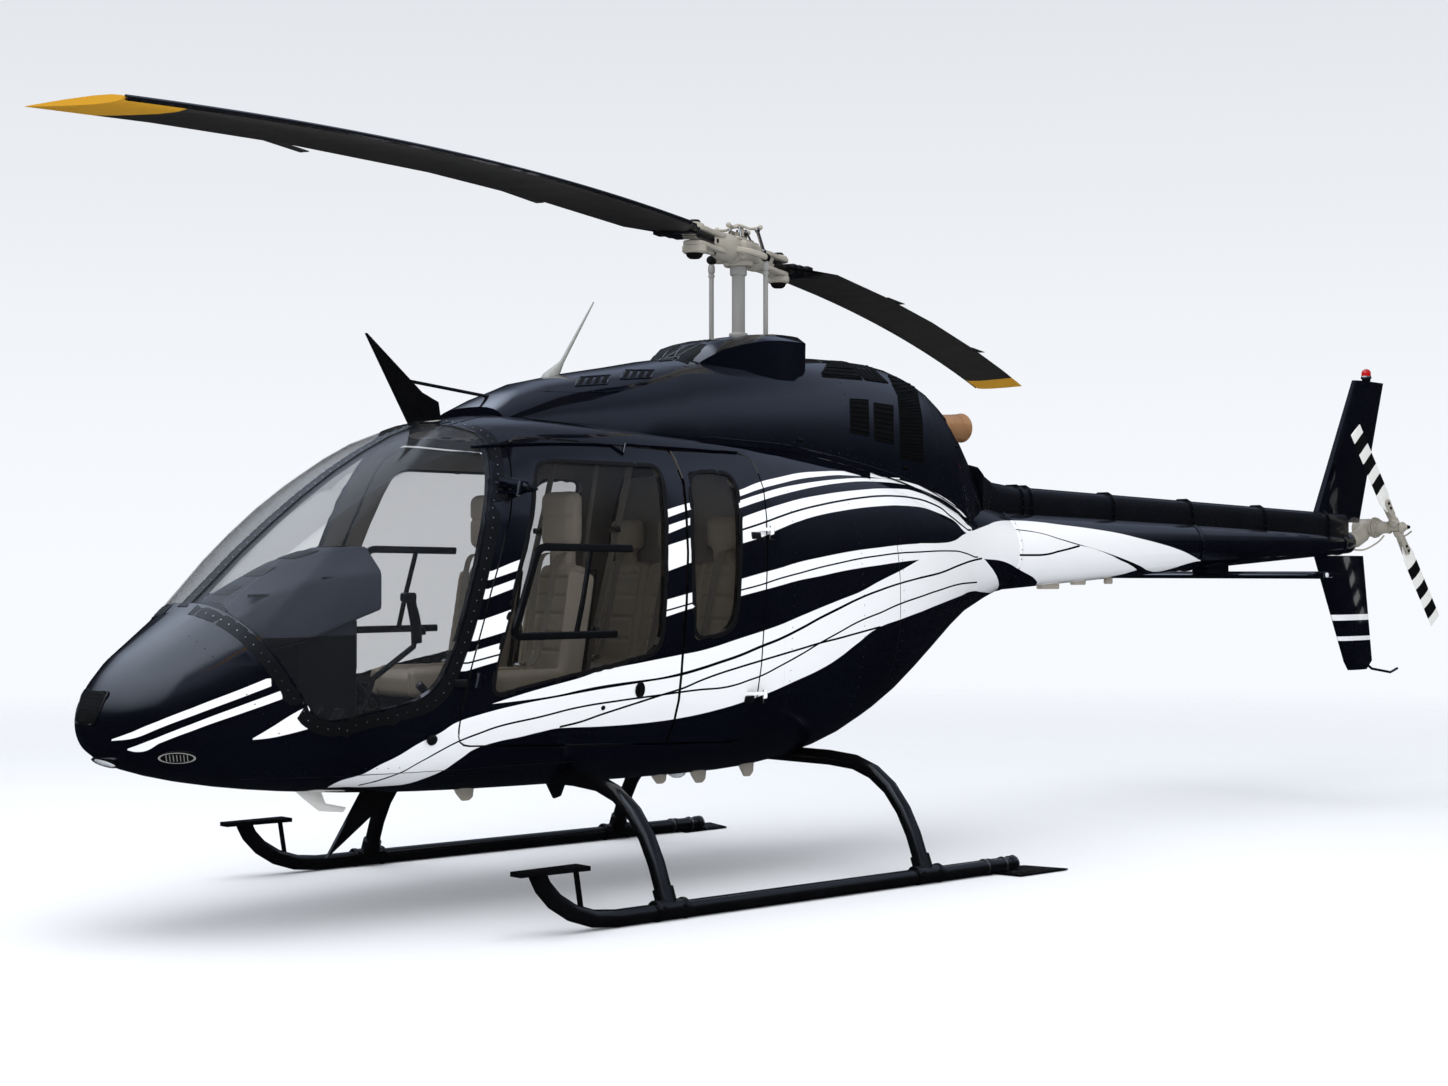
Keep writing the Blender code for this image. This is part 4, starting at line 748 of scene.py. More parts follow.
def block(bm, low, high, bevel=0.003, segments=2, matrix=None):
    """A box with rounded edges."""
    known = set(bm.verts)
    low, high = Vector(low), Vector(high)
    place = Matrix.Translation((low + high) / 2) @ Matrix.Diagonal((*(high - low), 1.0))
    soften(bm, bmesh.ops.create_cube(bm, size=1.0, matrix=place)["verts"], bevel, segments)
    move_new(bm, known, matrix)


def turned(bm, profile, matrix=None, steps=24):
    """A solid of revolution about z from (radius, height) points that begin and end on the axis."""
    known = set(bm.verts)
    verts = [bm.verts.new((radius, 0, height)) for radius, height in profile]
    edges = [bm.edges.new(pair) for pair in zip(verts, verts[1:])]
    bmesh.ops.spin(bm, geom=verts + edges, cent=(0, 0, 0), axis=(0, 0, 1), angle=math.tau, steps=steps,
                   use_merge=True)
    bmesh.ops.remove_doubles(bm, verts=new_verts(bm, known), dist=WELD)
    move_new(bm, known, matrix)


def disc(bm, radius, low, high, matrix, steps):
    turned(bm, [(0, low), (radius, low), (radius, high), (0, high)], matrix, steps)


def slab(bm, outline, low, high, matrix=None, bevel=0.0, segments=2):
    """An outline in the x-y plane, given a thickness from low to high."""
    known = set(bm.verts)
    face = bm.faces.new([bm.verts.new((x, y, low)) for x, y in outline])
    grown = bmesh.ops.extrude_face_region(bm, geom=[face])["geom"]
    top = [v for v in grown if isinstance(v, bmesh.types.BMVert)]
    bmesh.ops.translate(bm, vec=(0, 0, high - low), verts=top)
    if bevel:
        soften(bm, new_verts(bm, known), bevel, segments)
    move_new(bm, known, matrix)


def facing(point, normal, up=(0, 0, 1)):
    """A frame at a point whose z is the normal and whose y leans towards up."""
    z = Vector(normal).normalized()
    x = Vector(up).cross(z)
    if x.length < 1e-3:
        x = Vector((1, 0, 0))
    x.normalize()
    y = z.cross(x)
    frame_at = Matrix((x, y, z)).transposed().to_4x4()
    frame_at.translation = point
    return frame_at


CORNER_STEPS = 5


def rounded(outline, radius, steps=CORNER_STEPS):
    """An outline with its corners rounded."""
    pts = [Vector(p) for p in outline]
    out = []
    count = len(pts)
    for k, corner in enumerate(pts):
        before, after = pts[k - 1], pts[(k + 1) % count]
        reach = min(radius, 0.45 * (before - corner).length, 0.45 * (after - corner).length)
        start = corner + (before - corner).normalized() * reach
        end = corner + (after - corner).normalized() * reach
        for s in range(steps + 1):
            t = s / steps
            out.append(start * (1 - t) ** 2 + corner * (2 * t * (1 - t)) + end * t * t)
    return out


def stud(bm, point, normal, radius, height, sides=8):
    """The low head of a rivet or screw."""
    place = facing(point, normal) @ Matrix.Translation((0, 0, height / 2 - 0.0004))
    bmesh.ops.create_cone(bm, cap_ends=True, segments=sides, radius1=radius, radius2=radius * 0.6,
                          depth=height, matrix=place)


def rounded_line(line, radius):
    """A line with its inner corners rounded."""
    ends = CORNER_STEPS + 1
    return [Vector(line[0]), *rounded(line, radius)[ends:-ends], Vector(line[-1])]


def divided(line, step, whole=int):
    """Splits each stretch of a line into parts of about one step, leaving out its last point."""
    out = []
    for a, b in zip(line, line[1:]):
        parts = max(1, whole((b - a).length / step))
        out += [a.lerp(b, k / parts) for k in range(parts)]
    return out


def spaced(path, gap):
    """Points at equal steps along a path."""
    out, left = [], gap / 2
    for a, b in zip(path, path[1:]):
        length = (b - a).length
        while left < length:
            out.append(a.lerp(b, left / length))
            left += gap
        left -= length
    return out


# The skin that the trim lies on

def skin_tree(*names):
    """One search tree over the solids of these nodes."""
    bm = bmesh.new()
    for name in names:
        bm.from_mesh(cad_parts[name].data)
    tree = BVHTree.FromBMesh(bm)
    bm.free()
    return tree


OUTER = skin_tree("nose_cowl", "cabin_side_port", "cabin_side_starboard", "cabin_roof", "windshield_frame",
                  "lower_hull", "door_front_port", "door_rear_port", "door_front_starboard", "rear_fuselage",
                  "windshield_port", "windshield_starboard", "window_front_port", "window_rear_port",
                  "window_rear_starboard", "window_front_starboard", "forward_cowl", "transmission_cowl",
                  "engine_cowl", "mast_fairing", "tail_boom", "shaft_cover")
# A ray that falls into the narrow gap between two pieces is tried again just beside it
SEAM_STEPS = ((0, 0), (0.004, 0.003), (-0.004, -0.003))


def cast(start, way):
    """Where a ray first meets the skin, and the normal there."""
    return OUTER.ray_cast(start, Vector(way))[:2]


def beside(y, z, side=1):
    """The skin at a height and a station, seen square on from one side; measured from the mast."""
    best = None
    for dy, dz in SEAM_STEPS:
        hit, normal = cast(at(2.5 * side, y + dy, z + dz), (-side, 0, 0))
        if hit and (best is None or (hit.x - best[0].x) * side > 0.004):
            best = (hit, normal)
    return best or OUTER.find_nearest(at(0.6 * side, y, z))[:2]


def beside_curve(line, steps):
    """The port skin along a smooth curve through (y, z) points."""
    return [beside(p.x, p.y)[0] for p in flow(line, steps)]


def above(x, y):
    """The skin seen from overhead."""
    return cast(at(x, y, 4.0), (0, 0, -1))


def below(y):
    """The middle of the belly, seen from underneath."""
    return cast(at(0.0, y, -1.0), (0, 0, 1))[0]


def ahead(x, z):
    """The skin of the nose, seen from in front."""
    return cast(at(x, -4.4, z), (0, 1, 0))


def seen(px, py):
    """The skin that a pixel of the photograph shows."""
    turn = Matrix.Rotation(YAW, 3, "Z") @ Matrix.Rotation(PITCH, 3, "X")
    ray = turn @ Vector(((px - CENTRE_X) / FOCUS, (CENTRE_Y - py) / FOCUS, -1.0))
    return cast(EYE, ray.normalized())


AXIS_FRONT, AXIS_Z, BOOM_Z = MAST_Y - 2.900, 1.250, 1.650


REACH = 0.12


def hug(point):
    """The outer skin under a point, and its normal, looking in towards the middle of the body."""
    share = min(1.0, max(0.0, (point.y - MAST_Y - 0.8) / 1.2))
    middle = Vector((0, max(point.y, AXIS_FRONT), AXIS_Z + (BOOM_Z - AXIS_Z) * share))
    out = (point - middle).normalized()
    hit, normal, _, far = OUTER.ray_cast(point + out * REACH, -out)
    if hit and far < REACH + 0.015:
        return hit, normal
    return OUTER.find_nearest(point)[:2]


def outward_of(path, k, outward):
    """The way along the skin from a path to its outer side."""
    across = heading(path, k).cross(hug(path[k])[1])
    return -across if across.dot(outward(path[k])) < 0 else across


def ribbon(bm, path, inner, outer, thick, outward, columns=3):
    """A flat strip on the skin beside a path; outward tells which side is away from the opening."""
    rings = []
    for k, point in enumerate(path):
        across = outward_of(path, k, outward).normalized()
        low, high = [], []
        for c in range(columns + 1):
            share = inner + (outer - inner) * c / columns
            place, lift = hug(point + across * share)
            low.append(place - lift * 0.001)
            high.append(place + lift * thick)
        rings.append(low + high[::-1])
    join_rings(bm, [edge_ring(bm, ring) for ring in rings])


def bead_on(bm, path, width, height, closed=False, lift=0.0):
    """A raised bead that follows the skin."""
    places = []
    for k, point in enumerate(path):
        place, normal = hug(point)
        side = heading(path, k, closed).cross(normal).normalized()
        places.append((place + normal * lift, side, normal))
    sweep(bm, places, bar_profile(width, height, 0.5), closed)


def stud_row(bm, path, gap, radius, height, lift=0.0):
    """Fastener heads at equal steps along a path on the skin."""
    for point in spaced(path, gap):
        place, normal = hug(point)
        stud(bm, place + normal * lift, normal, radius, height)


# Glazing: trims, seals and the sliding vent

# y, z of the cut round the windshield, from the foot of the centre post round to its head
WINDSHIELD_EDGE = [
    (-3.150, 1.380), (-3.050, 1.235), (-2.985, 1.135), (-2.835, 0.868), (-2.330, 0.968), (-2.215, 1.235),
    (-2.085, 1.640), (-1.960, 1.990), (-1.925, 2.105), (-2.015, 2.160),
]
FRONT_WINDOW = [
    (-2.062, 0.953), (-1.120, 1.125), (-1.080, 1.592), (-1.043, 1.863), (-1.030, 1.985), (-1.740, 1.988),
    (-1.814, 1.759), (-1.911, 1.493), (-2.030, 1.112),
]
REAR_WINDOW = [
    (-0.925, 1.168), (-0.665, 1.215), (-0.620, 1.550), (-0.586, 1.800), (-0.570, 1.965), (-0.862, 1.965),
    (-0.914, 1.640),
]
POST_HALF = 0.028


def on_side(outline, radius, side):
    """A rounded outline in y and z, laid on the skin of one side."""
    smooth = rounded(outline, radius)
    return [beside(p.x, p.y, side)[0] for p in divided(smooth + smooth[:1], 0.02)]


def windshield_path():
    """The edge of the port pane, from the foot of the centre post round the door post to its head."""
    path = []
    for p in divided(rounded_line(WINDSHIELD_EDGE, 0.09), 0.012):
        hit, _ = cast(at(2.5, p.x, p.y), (-1, 0, 0))
        if hit and abs(hit.x) > POST_HALF:
            path.append(hit)
    kept = [path[0]]
    for point in path[1:]:
        if 0.015 < (point - kept[-1]).length < 0.35:
            kept.append(point)
    return kept


RIVET_GAP, RIVET_RADIUS, RIVET_HEIGHT, TRIM_THICK = 0.047, 0.0042, 0.0022, 0.002


def windshield_trim():
    """Sheet trim round each windshield pane, with its row of rivets."""
    bm, rivets = bmesh.new(), bmesh.new()
    path = windshield_path()
    middle = at(0.45, -2.50, 1.50)

    def away(point):
        return point - middle

    ribbon(bm, path, -0.004, 0.064, 0.0022, away)
    line = [hug(path[k] + outward_of(path, k, away) * 0.036)[0] for k in range(1, len(path) - 1)]
    stud_row(rivets, line, RIVET_GAP, RIVET_RADIUS, RIVET_HEIGHT, TRIM_THICK)
    emit("windshield_trim", bm, trim_black, mirror=True)
    emit("windshield_trim_rivets", rivets, rivet_steel, mirror=True)


POST_FOOT_Y, POST_HEAD_Y, POST_STEPS = -3.155, -1.95, 69


def post_trim():
    """Strip down the centre post, riveted along both edges."""
    bm, rivets = bmesh.new(), bmesh.new()
    rise = POST_HEAD_Y - POST_FOOT_Y
    spine = [above(0, POST_FOOT_Y + rise * k / POST_STEPS)[0] for k in range(POST_STEPS + 1)]
    spine = [p for p in spine if p]
    ribbon(bm, spine, -0.040, 0.040, 0.0024, lambda point: Vector((1, 0, 0)))
    for side in (1, -1):
        line = [hug(p + Vector((side * 0.026, 0, 0)))[0] for p in spine]
        stud_row(rivets, line, RIVET_GAP, RIVET_RADIUS, RIVET_HEIGHT, TRIM_THICK)
    emit("centre_post_trim", bm, trim_black)
    emit("centre_post_rivets", rivets, rivet_steel)


FRONT_DOORS = ((1, "front_port_door", "port"), (-1, "front_starboard_door", "starboard"))
REAR_SIDES = ((1, "rear_port_door", "port"), (-1, "airframe", "starboard"))


def window_seals():
    """Rubber seals round the side windows."""
    for name, outline, sides in (("front", FRONT_WINDOW, FRONT_DOORS), ("rear", REAR_WINDOW, REAR_SIDES)):
        for side, body, port in sides:
            bm = bmesh.new()
            bead_on(bm, on_side(outline, 0.10, side), 0.022, 0.007, closed=True)
            emit(name + "_window_seal_" + port, bm, rubber, body)


VENT_FRAME = [(-1.286, 1.596), (-1.806, 1.601), (-1.955, 1.212), (-1.388, 1.214)]
VENT_RAIL = [(-1.522, 1.582), (-1.610, 1.228)]


def vent_frames():
    """The black frame round the sliding vent of each front door, open where the vent slides out."""
    for side, body, port in FRONT_DOORS:
        bm = bmesh.new()
        for smooth, width, height in ((rounded_line(VENT_FRAME, 0.045), 0.034, 0.022),
                                      ([Vector(p) for p in VENT_RAIL], 0.024, 0.014)):
            path = divided(smooth, 0.03, round) + [smooth[-1]]
            bead_on(bm, [beside(p.x, p.y, side)[0] for p in path], width, height, lift=0.004)
        emit("vent_frame_" + port, bm, gloss_trim, body)


# Doors and skin details

HINGE_COVERS = (("front_hinge_covers", [(-2.228, 1.018)], (1, -1)),
                ("rear_hinge_covers", [(-0.505, 1.665), (-0.560, 0.888)], (1,)))


def hinges():
    """Covers of the door hinges, with their screws."""
    for name, places, sides in HINGE_COVERS:
        bm = bmesh.new()
        for side in sides:
            for y, z in places:
                point, normal = beside(y, z, side)
                place = facing(point, normal)
                block(bm, (-0.030, -0.017, -0.004), (0.030, 0.017, 0.007), 0.005, 2, place)
                for dx in (-0.016, 0.016):
                    stud(bm, place @ Vector((dx, 0, 0.007)), normal, 0.005, 0.003, 10)
        emit(name, bm, trim_black)


HINGE_FAIRING = [(-1.968, 1.884), (-1.930, 1.879), (-1.880, 1.872), (-1.820, 1.862), (-1.770, 1.853)]


def hinge_fairings():
    """Teardrop covers over the upper hinges of the front doors."""
    for side, body, port in FRONT_DOORS:
        bm = bmesh.new()
        skin = [beside(y, z, side) for y, z in HINGE_FAIRING]
        path = [point for point, _ in skin]
        places = []
        for k, (point, normal) in enumerate(skin):
            places.append((point + normal * 0.009, heading(path, k).cross(normal).normalized(), normal))
        sweep(bm, places, bar_profile(0.056, 0.040, 0.8), scales=[1.0, 1.0, 0.9, 0.65, 0.2])
        emit("front_hinge_fairing_" + port, bm, cowl_paint, body)


def latches():
    """Oval door pull, round lock and the knob at the foot of the front edge."""
    for side, body, port in FRONT_DOORS:
        bm = bmesh.new()
        point, normal = beside(-1.243, 0.957, side)
        place = facing(point, normal) @ Matrix.Diagonal((1.0, 1.35, 1.0, 1.0))
        turned(bm, [(0, -0.002), (0.026, -0.002), (0.028, 0.004), (0.024, 0.007), (0.018, 0.003), (0, 0.002)],
               place, 28)
        block(bm, (-0.006, -0.020, 0.001), (0.006, 0.020, 0.010), 0.003, 2, facing(point, normal))
        point, normal = beside(-2.330, 0.787, side)
        turned(bm, [(0, -0.002), (0.020, -0.002), (0.024, 0.006), (0.024, 0.016), (0.018, 0.022), (0, 0.023)],
               facing(point, normal), 20)
        emit("front_door_latch_" + port, bm, trim_black, body)
        bm = bmesh.new()
        point, normal = beside(-1.446, 0.884, side)
        turned(bm, [(0, -0.002), (0.011, -0.002), (0.011, 0.003), (0.008, 0.005), (0.003, 0.005),
                    (0.003, 0.002), (0, 0.002)], facing(point, normal), 20)
        emit("front_door_lock_" + port, bm, plated, body)


DRIP_RAIL = [(-2.020, 2.035), (-1.700, 2.062), (-1.300, 2.075), (-0.900, 2.075), (-0.480, 2.065)]


def drip_rails():
    """Gutters over the doors."""
    bm = bmesh.new()
    bead_on(bm, beside_curve(DRIP_RAIL, 10), 0.010, 0.016, lift=0.004)
    emit("drip_rails", bm, cowl_paint, mirror=True)


def seam_rivets():
    """Rows of flush screws along the sill, the cowl foot and the panel joints."""
    rows = (
        [(-3.050, 0.670), (-2.400, 0.664)],
        [(-0.300, 0.790), (-0.290, 1.190), (-0.250, 1.640), (-0.230, 1.930)],
        [(0.600, 0.840), (0.610, 1.340), (0.600, 1.700)],
        [(0.250, 0.760), (0.255, 1.180), (0.240, 1.640), (0.210, 1.860)],
        [(-3.250, 1.240), (-3.170, 1.090), (-2.980, 0.830), (-2.740, 0.560)],
    )
    bm = bmesh.new()
    for row in rows:
        stud_row(bm, beside_curve(row, 14), 0.052, 0.0036, 0.0012)
    emit("panel_screws", bm, plated, mirror=True)


def panel_lines():
    """Thin dark joints where skin panels meet behind the doors."""
    lines = (
        [(0.560, 0.800), (0.575, 1.300), (0.560, 1.760)],
        [(-3.070, 0.636), (-2.400, 0.636), (-1.500, 0.640)],
    )
    bm = bmesh.new()
    for line in lines:
        bead_on(bm, beside_curve(line, 16), 0.0035, 0.0016, lift=0.0004)
    emit("panel_joints", bm, rubber, mirror=True)


INTAKE = [(-0.085, 0.875), (0.085, 0.875), (0.110, 1.010), (-0.110, 1.010)]


def nose_intake():
    """Ram air intake on the nose: its rim, and the black mesh across it, whose beads lie close enough to fill
    the opening with painted shade.
    """
    bm = bmesh.new()
    bead_on(bm, [ahead(p.x, p.y)[0] for p in rounded(INTAKE, 0.025)], 0.010, 0.010, closed=True, lift=0.002)
    emit("intake_rim", bm, gloss_trim)
    bm = bmesh.new()
    for r in range(9):
        z = 0.882 + 0.121 * r / 8
        half = 0.080 + 0.022 * r / 8
        path = [ahead(half * (c / 6 - 1), z)[0] for c in range(13)]
        path = [p for p in path if p]
        if len(path) > 3:
            bead_on(bm, path, 0.0165, 0.003, lift=0.0006)
    emit("intake_mesh", bm, mesh_and_painted_shade)


LANDING_LIGHT_Z = 0.715


def chin_light():
    """Oval landing light under the intake: its ring and lens."""
    place = facing(*ahead(0, LANDING_LIGHT_Z)) @ Matrix.Diagonal((1.15, 0.42, 0.5, 1))
    bm = bmesh.new()
    turned(bm, [(0, -0.01), (0.085, -0.01), (0.090, 0.004), (0.080, 0.010), (0.074, 0.004), (0, 0.002)],
           place, 36)
    emit("landing_light_ring", bm, ground_steel)
    bm = bmesh.new()
    turned(bm, [(0, 0.001), (0.073, 0.001), (0.066, 0.010), (0.040, 0.017), (0, 0.020)], place, 36)
    emit("landing_light_lens", bm, clear_lens)


NOSE_VENT_PIXEL = (177, 758)        # in the photograph


def side_grille():
    """Oval vent with slats, low on each side of the nose, over a dark disc of painted shade."""
    place = facing(*seen(*NOSE_VENT_PIXEL))
    oval = place @ Matrix.Diagonal((1.75, 0.8, 1, 1))
    slats, vent_shade = bmesh.new(), bmesh.new()
    turned(slats, [(0.038, -0.001), (0.041, -0.001), (0.043, 0.002), (0.040, 0.003), (0.038, 0.002)], oval,
           30)
    # Painted shade: a dark disc inside the vent
    disc(vent_shade, 0.038, -0.001, 0.001, oval, 30)
    for k in range(7):
        x = -0.042 + 0.014 * k
        block(slats, (x - 0.0015, -0.020, 0.000), (x + 0.0015, 0.020, 0.003), 0.0005, 1, place)
    emit("nose_side_vents", slats, mast_coating, mirror=True)
    emit("nose_side_vent_shade", vent_shade, mesh_and_painted_shade, mirror=True)


# Rotor head

ROTOR_BEARING = math.radians(26.5)
HUB = at(0, 0, 3.141)
# From the hub out along the port blade, and towards that blade's leading edge
SPAN = Vector((math.sin(ROTOR_BEARING), -math.cos(ROTOR_BEARING), 0))
CHORD = Vector((-SPAN.y, SPAN.x, 0))
BLADE_BOLT, GRIP_BOLT = 0.600, 0.360
TIP_RADIUS = 5.300
BLADE_CHORD = 0.350


def hub_frame(way, radius=0.0, lift=0.0):
    """A frame on the hub: x out along the blade, y across it, z up."""
    x, y = SPAN * way, CHORD * way
    made = Matrix((x, y, Vector((0, 0, 1)))).transposed().to_4x4()
    made.translation = HUB + x * radius + Vector((0, 0, lift))
    return made


def lying(matrix):
    """Turns z of a lathe shape onto the local x axis."""
    return matrix @ Matrix.Rotation(math.pi / 2, 4, "Y")


def grip_arm(bm, dark, way, lift):
    """The upper or lower plate of a grip, with its rib, blade bolt and nut."""
    arm = [(0.250, -0.040), (0.330, -0.058), (0.480, -0.050), (0.560, -0.056), (0.640, -0.050), (0.668, 0.0),
           (0.640, 0.050), (0.560, 0.056), (0.480, 0.050), (0.330, 0.058), (0.250, 0.040)]
    low, high = (0.0256, 0.0500) if lift > 0 else (-0.0500, -0.0256)
    slab(bm, rounded(arm, 0.03, 3), low, high, hub_frame(way), 0.007, 2)
    rib = [(0.270, -0.016), (0.560, -0.010), (0.560, 0.010), (0.270, 0.016)]
    low, high = (0.047, 0.062) if lift > 0 else (-0.062, -0.047)
    slab(bm, rib, low, high, hub_frame(way), 0.004, 2)
    cup = [(0, 0.046), (0.050, 0.046), (0.046, 0.058), (0.030, 0.066), (0, 0.068)]
    nut = [(0, 0.062), (0.028, 0.062), (0.030, 0.070), (0.024, 0.078), (0.008, 0.080), (0, 0.078)]
    if lift < 0:
        cup = [(0, 0.046), (0.054, 0.046), (0.060, 0.054), (0.060, 0.078), (0.052, 0.086), (0.034, 0.088),
               (0, 0.088)]
        nut = [(0, 0.080), (0.041, 0.080), (0.043, 0.090), (0.036, 0.104), (0.026, 0.112), (0.010, 0.114),
               (0.010, 0.108), (0, 0.108)]
    turn = FLIP if lift < 0 else Matrix()
    turned(bm, cup, hub_frame(way, BLADE_BOLT) @ turn, 36)
    turned(dark, nut, hub_frame(way, BLADE_BOLT) @ turn, 28)
    turned(dark, [(0, 0.048), (0.018, 0.048), (0.018, 0.058), (0.012, 0.062), (0, 0.062)],
           hub_frame(way, GRIP_BOLT) @ turn, 18)


def grip(bm, dark, way):
    """Barrel and forked arm that hold one blade."""
    turned(bm, [(0, 0.095), (0.062, 0.095), (0.072, 0.104), (0.073, 0.128), (0.069, 0.134), (0.069, 0.142),
                (0.073, 0.148), (0.071, 0.230), (0.062, 0.310), (0.050, 0.372), (0.044, 0.392), (0, 0.400)],
           lying(hub_frame(way)), 36)
    for lift in (1, -1):
        grip_arm(bm, dark, way, lift)


def ball(bm, point, radius, sides):
    bmesh.ops.create_uvsphere(bm, u_segments=sides, v_segments=8, radius=radius,
                              matrix=Matrix.Translation(point))


def pitch_horn(bm, dark, steel, way):
    """Horn on the grip with its eye over the pitch link, and the rod that ties it to the linkage above."""
    base = hub_frame(way)
    horn = [(0.190, 0.055, -0.012), (0.140, 0.110, -0.020), (0.060, 0.145, -0.030), (0.000, 0.150, -0.034)]
    sweep(bm, along_path([base @ p for p in flow(horn, 5)]), bar_profile(0.034, 0.030, 0.5))
    turned(dark, [(0, -0.024), (0.013, -0.024), (0.013, -0.016), (0.022, -0.016), (0.022, 0.016),
                  (0.013, 0.016), (0.013, 0.024), (0, 0.024)], lying(base @ Matrix.Translation(horn[-1])),
           20)
    top, foot = base @ Vector((0.020, 0.112, 0.104)), base @ Vector((0.004, 0.148, -0.026))
    rod(steel, [foot, top], 0.009, 12)
    for end in (top, foot.lerp(top, 0.16)):
        ball(steel, end, 0.0145, 12)


def trunnion(bm, dark, way):
    """Ears and bolt heads at the outboard end of a grip's barrel."""
    for side in (1, -1):
        place = hub_frame(way) @ Matrix.Translation((0.405, side * 0.030, 0.0)) \
            @ Matrix.Rotation(-side * math.pi / 2, 4, "X")
        turned(bm, [(0, -0.010), (0.024, -0.010), (0.026, 0.008), (0.018, 0.014), (0, 0.014)], place, 20)
        turned(dark, [(0, 0.012), (0.011, 0.012), (0.011, 0.019), (0, 0.020)], place, 6)


def head_linkage(bm, dark, steel):
    """Clevis and crossed mixing arms on top of the mast, on four struts."""
    base = hub_frame(1)
    turned(bm, [(0, 0.040), (0.046, 0.040), (0.040, 0.060), (0.026, 0.070), (0.026, 0.100), (0, 0.104)],
           base, 28)
    for side in (1, -1):
        block(bm, (-0.040, side * 0.030 - 0.006, 0.058), (0.040, side * 0.030 + 0.006, 0.112), 0.005, 2, base)
        turned(dark, [(0, 0.034), (0.012, 0.034), (0.014, 0.040), (0.010, 0.046), (0, 0.046)],
               base @ Matrix.Translation((0, 0, 0.090)) @ Matrix.Rotation(-side * math.pi / 2, 4, "X"), 6)
    for bearing, reach in ((0, 0.140), (90, 0.120)):
        spin = base @ Matrix.Rotation(math.radians(bearing), 4, "Z")
        arm = [(-reach, 0, 0.122), (-0.070, 0, 0.118), (-0.030, 0, 0.132), (0, 0, 0.136), (0.030, 0, 0.132),
               (0.070, 0, 0.118), (reach, 0, 0.122)]
        path = [spin @ p for p in flow(arm, 4)]
        scales = [1.0 + 0.6 * math.exp(-((k / (len(path) - 1) - 0.5) / 0.14) ** 2) for k in range(len(path))]
        sweep(bm, along_path(path), bar_profile(0.022, 0.013, 0.6), scales=scales)
        for end in (-1, 1):
            ball(bm, spin @ Vector((end * reach, 0, 0.122)), 0.014, 14)
    for dx in (-0.075, 0.075):
        for dy in (-0.045, 0.045):
            rod(steel, [base @ Vector((dx, dy, 0.056)), base @ Vector((dx * 0.55, dy * 0.5, 0.122))], 0.006,
                8)
            turned(dark, [(0, 0.060), (0.010, 0.060), (0.010, 0.068), (0, 0.070)],
                   base @ Matrix.Translation((dx, dy, 0)), 6)


def rotor_head():
    """Yoke across the mast, the grips and horns on it, and the linkage on top."""
    bm, dark, steel = bmesh.new(), bmesh.new(), bmesh.new()
    block(bm, (-0.120, -0.085, -0.052), (0.120, 0.085, 0.050), 0.024, 4, hub_frame(1))
    block(bm, (-0.150, -0.060, 0.046), (0.150, 0.060, 0.062), 0.006, 3, hub_frame(1))
    turned(bm, [(0, -0.075), (0.072, -0.075), (0.078, -0.066), (0.078, -0.050), (0, -0.050)], hub_frame(1),
           36)
    for way in (1, -1):
        grip(bm, dark, way)
        pitch_horn(bm, dark, steel, way)
        trunnion(bm, dark, way)
    head_linkage(bm, dark, steel)
    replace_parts(emit("rotor_head", bm, hub_primer, "main_rotor"), "rotor_hub")
    emit("rotor_head_nuts", dark, soot, "main_rotor")
    emit("rotor_head_links", steel, ground_steel, "main_rotor")


def mast_details():
    """Collars on the mast, the swashplate's upper ring, and the rod ends of the pitch links."""
    bm = bmesh.new()
    for low, high, radius in ((2.700, 2.722, 0.046), (3.020, 3.066, 0.041)):
        turned(bm, [(0.0345, low), (radius, low), (radius + 0.003, low + 0.006),
                    (radius + 0.003, high - 0.006), (radius, high), (0.0345, high)], FROM_MAST, 36)
    turned(bm, [(0.050, 0.036), (0.196, 0.036), (0.200, 0.028), (0.200, 0.008), (0.194, 0.000),
                (0.050, 0.000)], placed(0, 0, 2.560), 48)
    emit("mast_collars", bm, mast_coating, "main_rotor")
    bm = bmesh.new()
    for way in (1, -1):
        foot = HUB + CHORD * (way * 0.150)
        for z in (2.612, 3.060):
            turned(bm, [(0, -0.020), (0.016, -0.020), (0.018, -0.012), (0.018, 0.012), (0.016, 0.020),
                        (0, 0.020)], Matrix.Translation((foot.x, foot.y, z)), 20)
        for z in (2.650, 3.025):
            disc(bm, 0.0165, -0.008, 0.008, Matrix.Translation((foot.x, foot.y, z)), 6)
    emit("pitch_link_ends", bm, mast_coating, "main_rotor")


SAG_START, TIP_SAG = 0.7, 0.280


def blade_sag(radius):
    """How far a blade has bent down at a distance from the mast."""
    return TIP_SAG * (max(0.0, radius - SAG_START) / (TIP_RADIUS - SAG_START)) ** 2


def blade_details():
    """Leading edge strip, root cuffs and trim tabs of the main blades."""
    cuffs, strips, tabs = bmesh.new(), bmesh.new(), bmesh.new()
    for way in (1, -1):
        frame_at = hub_frame(way)
        path = []
        for k in range(40):
            r = 1.0 + (TIP_RADIUS - 0.012 - 1.0) * k / 39
            path.append(frame_at @ Vector((r, BLADE_CHORD * 0.42 - 0.001, -blade_sag(r))))
        sweep(strips, along_path(path), bar_profile(0.012, 0.018, 0.9))
        for r in (2.05, 3.95):
            z = -blade_sag(r) - 0.001
            trailing = -BLADE_CHORD * 0.58
            block(tabs, (r - 0.170, trailing - 0.026, z - 0.002), (r + 0.170, trailing + 0.012, z + 0.002),
                  0.001, 1, frame_at)
        for r, width in ((0.700, 0.128), (0.760, 0.150), (0.820, 0.200)):
            block(cuffs, (r - 0.030, -width / 2, -0.0275), (r + 0.050, width / 2, 0.0275), 0.004, 2,
                  frame_at @ Matrix.Translation((0, -0.030 * (r - 0.6), 0)))
    emit("blade_edge_strips", strips, blade_gloss, "main_rotor")
    emit("blade_trim_tabs", tabs, blade_paint, "main_rotor")
    emit("blade_root_doublers", cuffs, blade_gloss, "main_rotor")


# Cowls

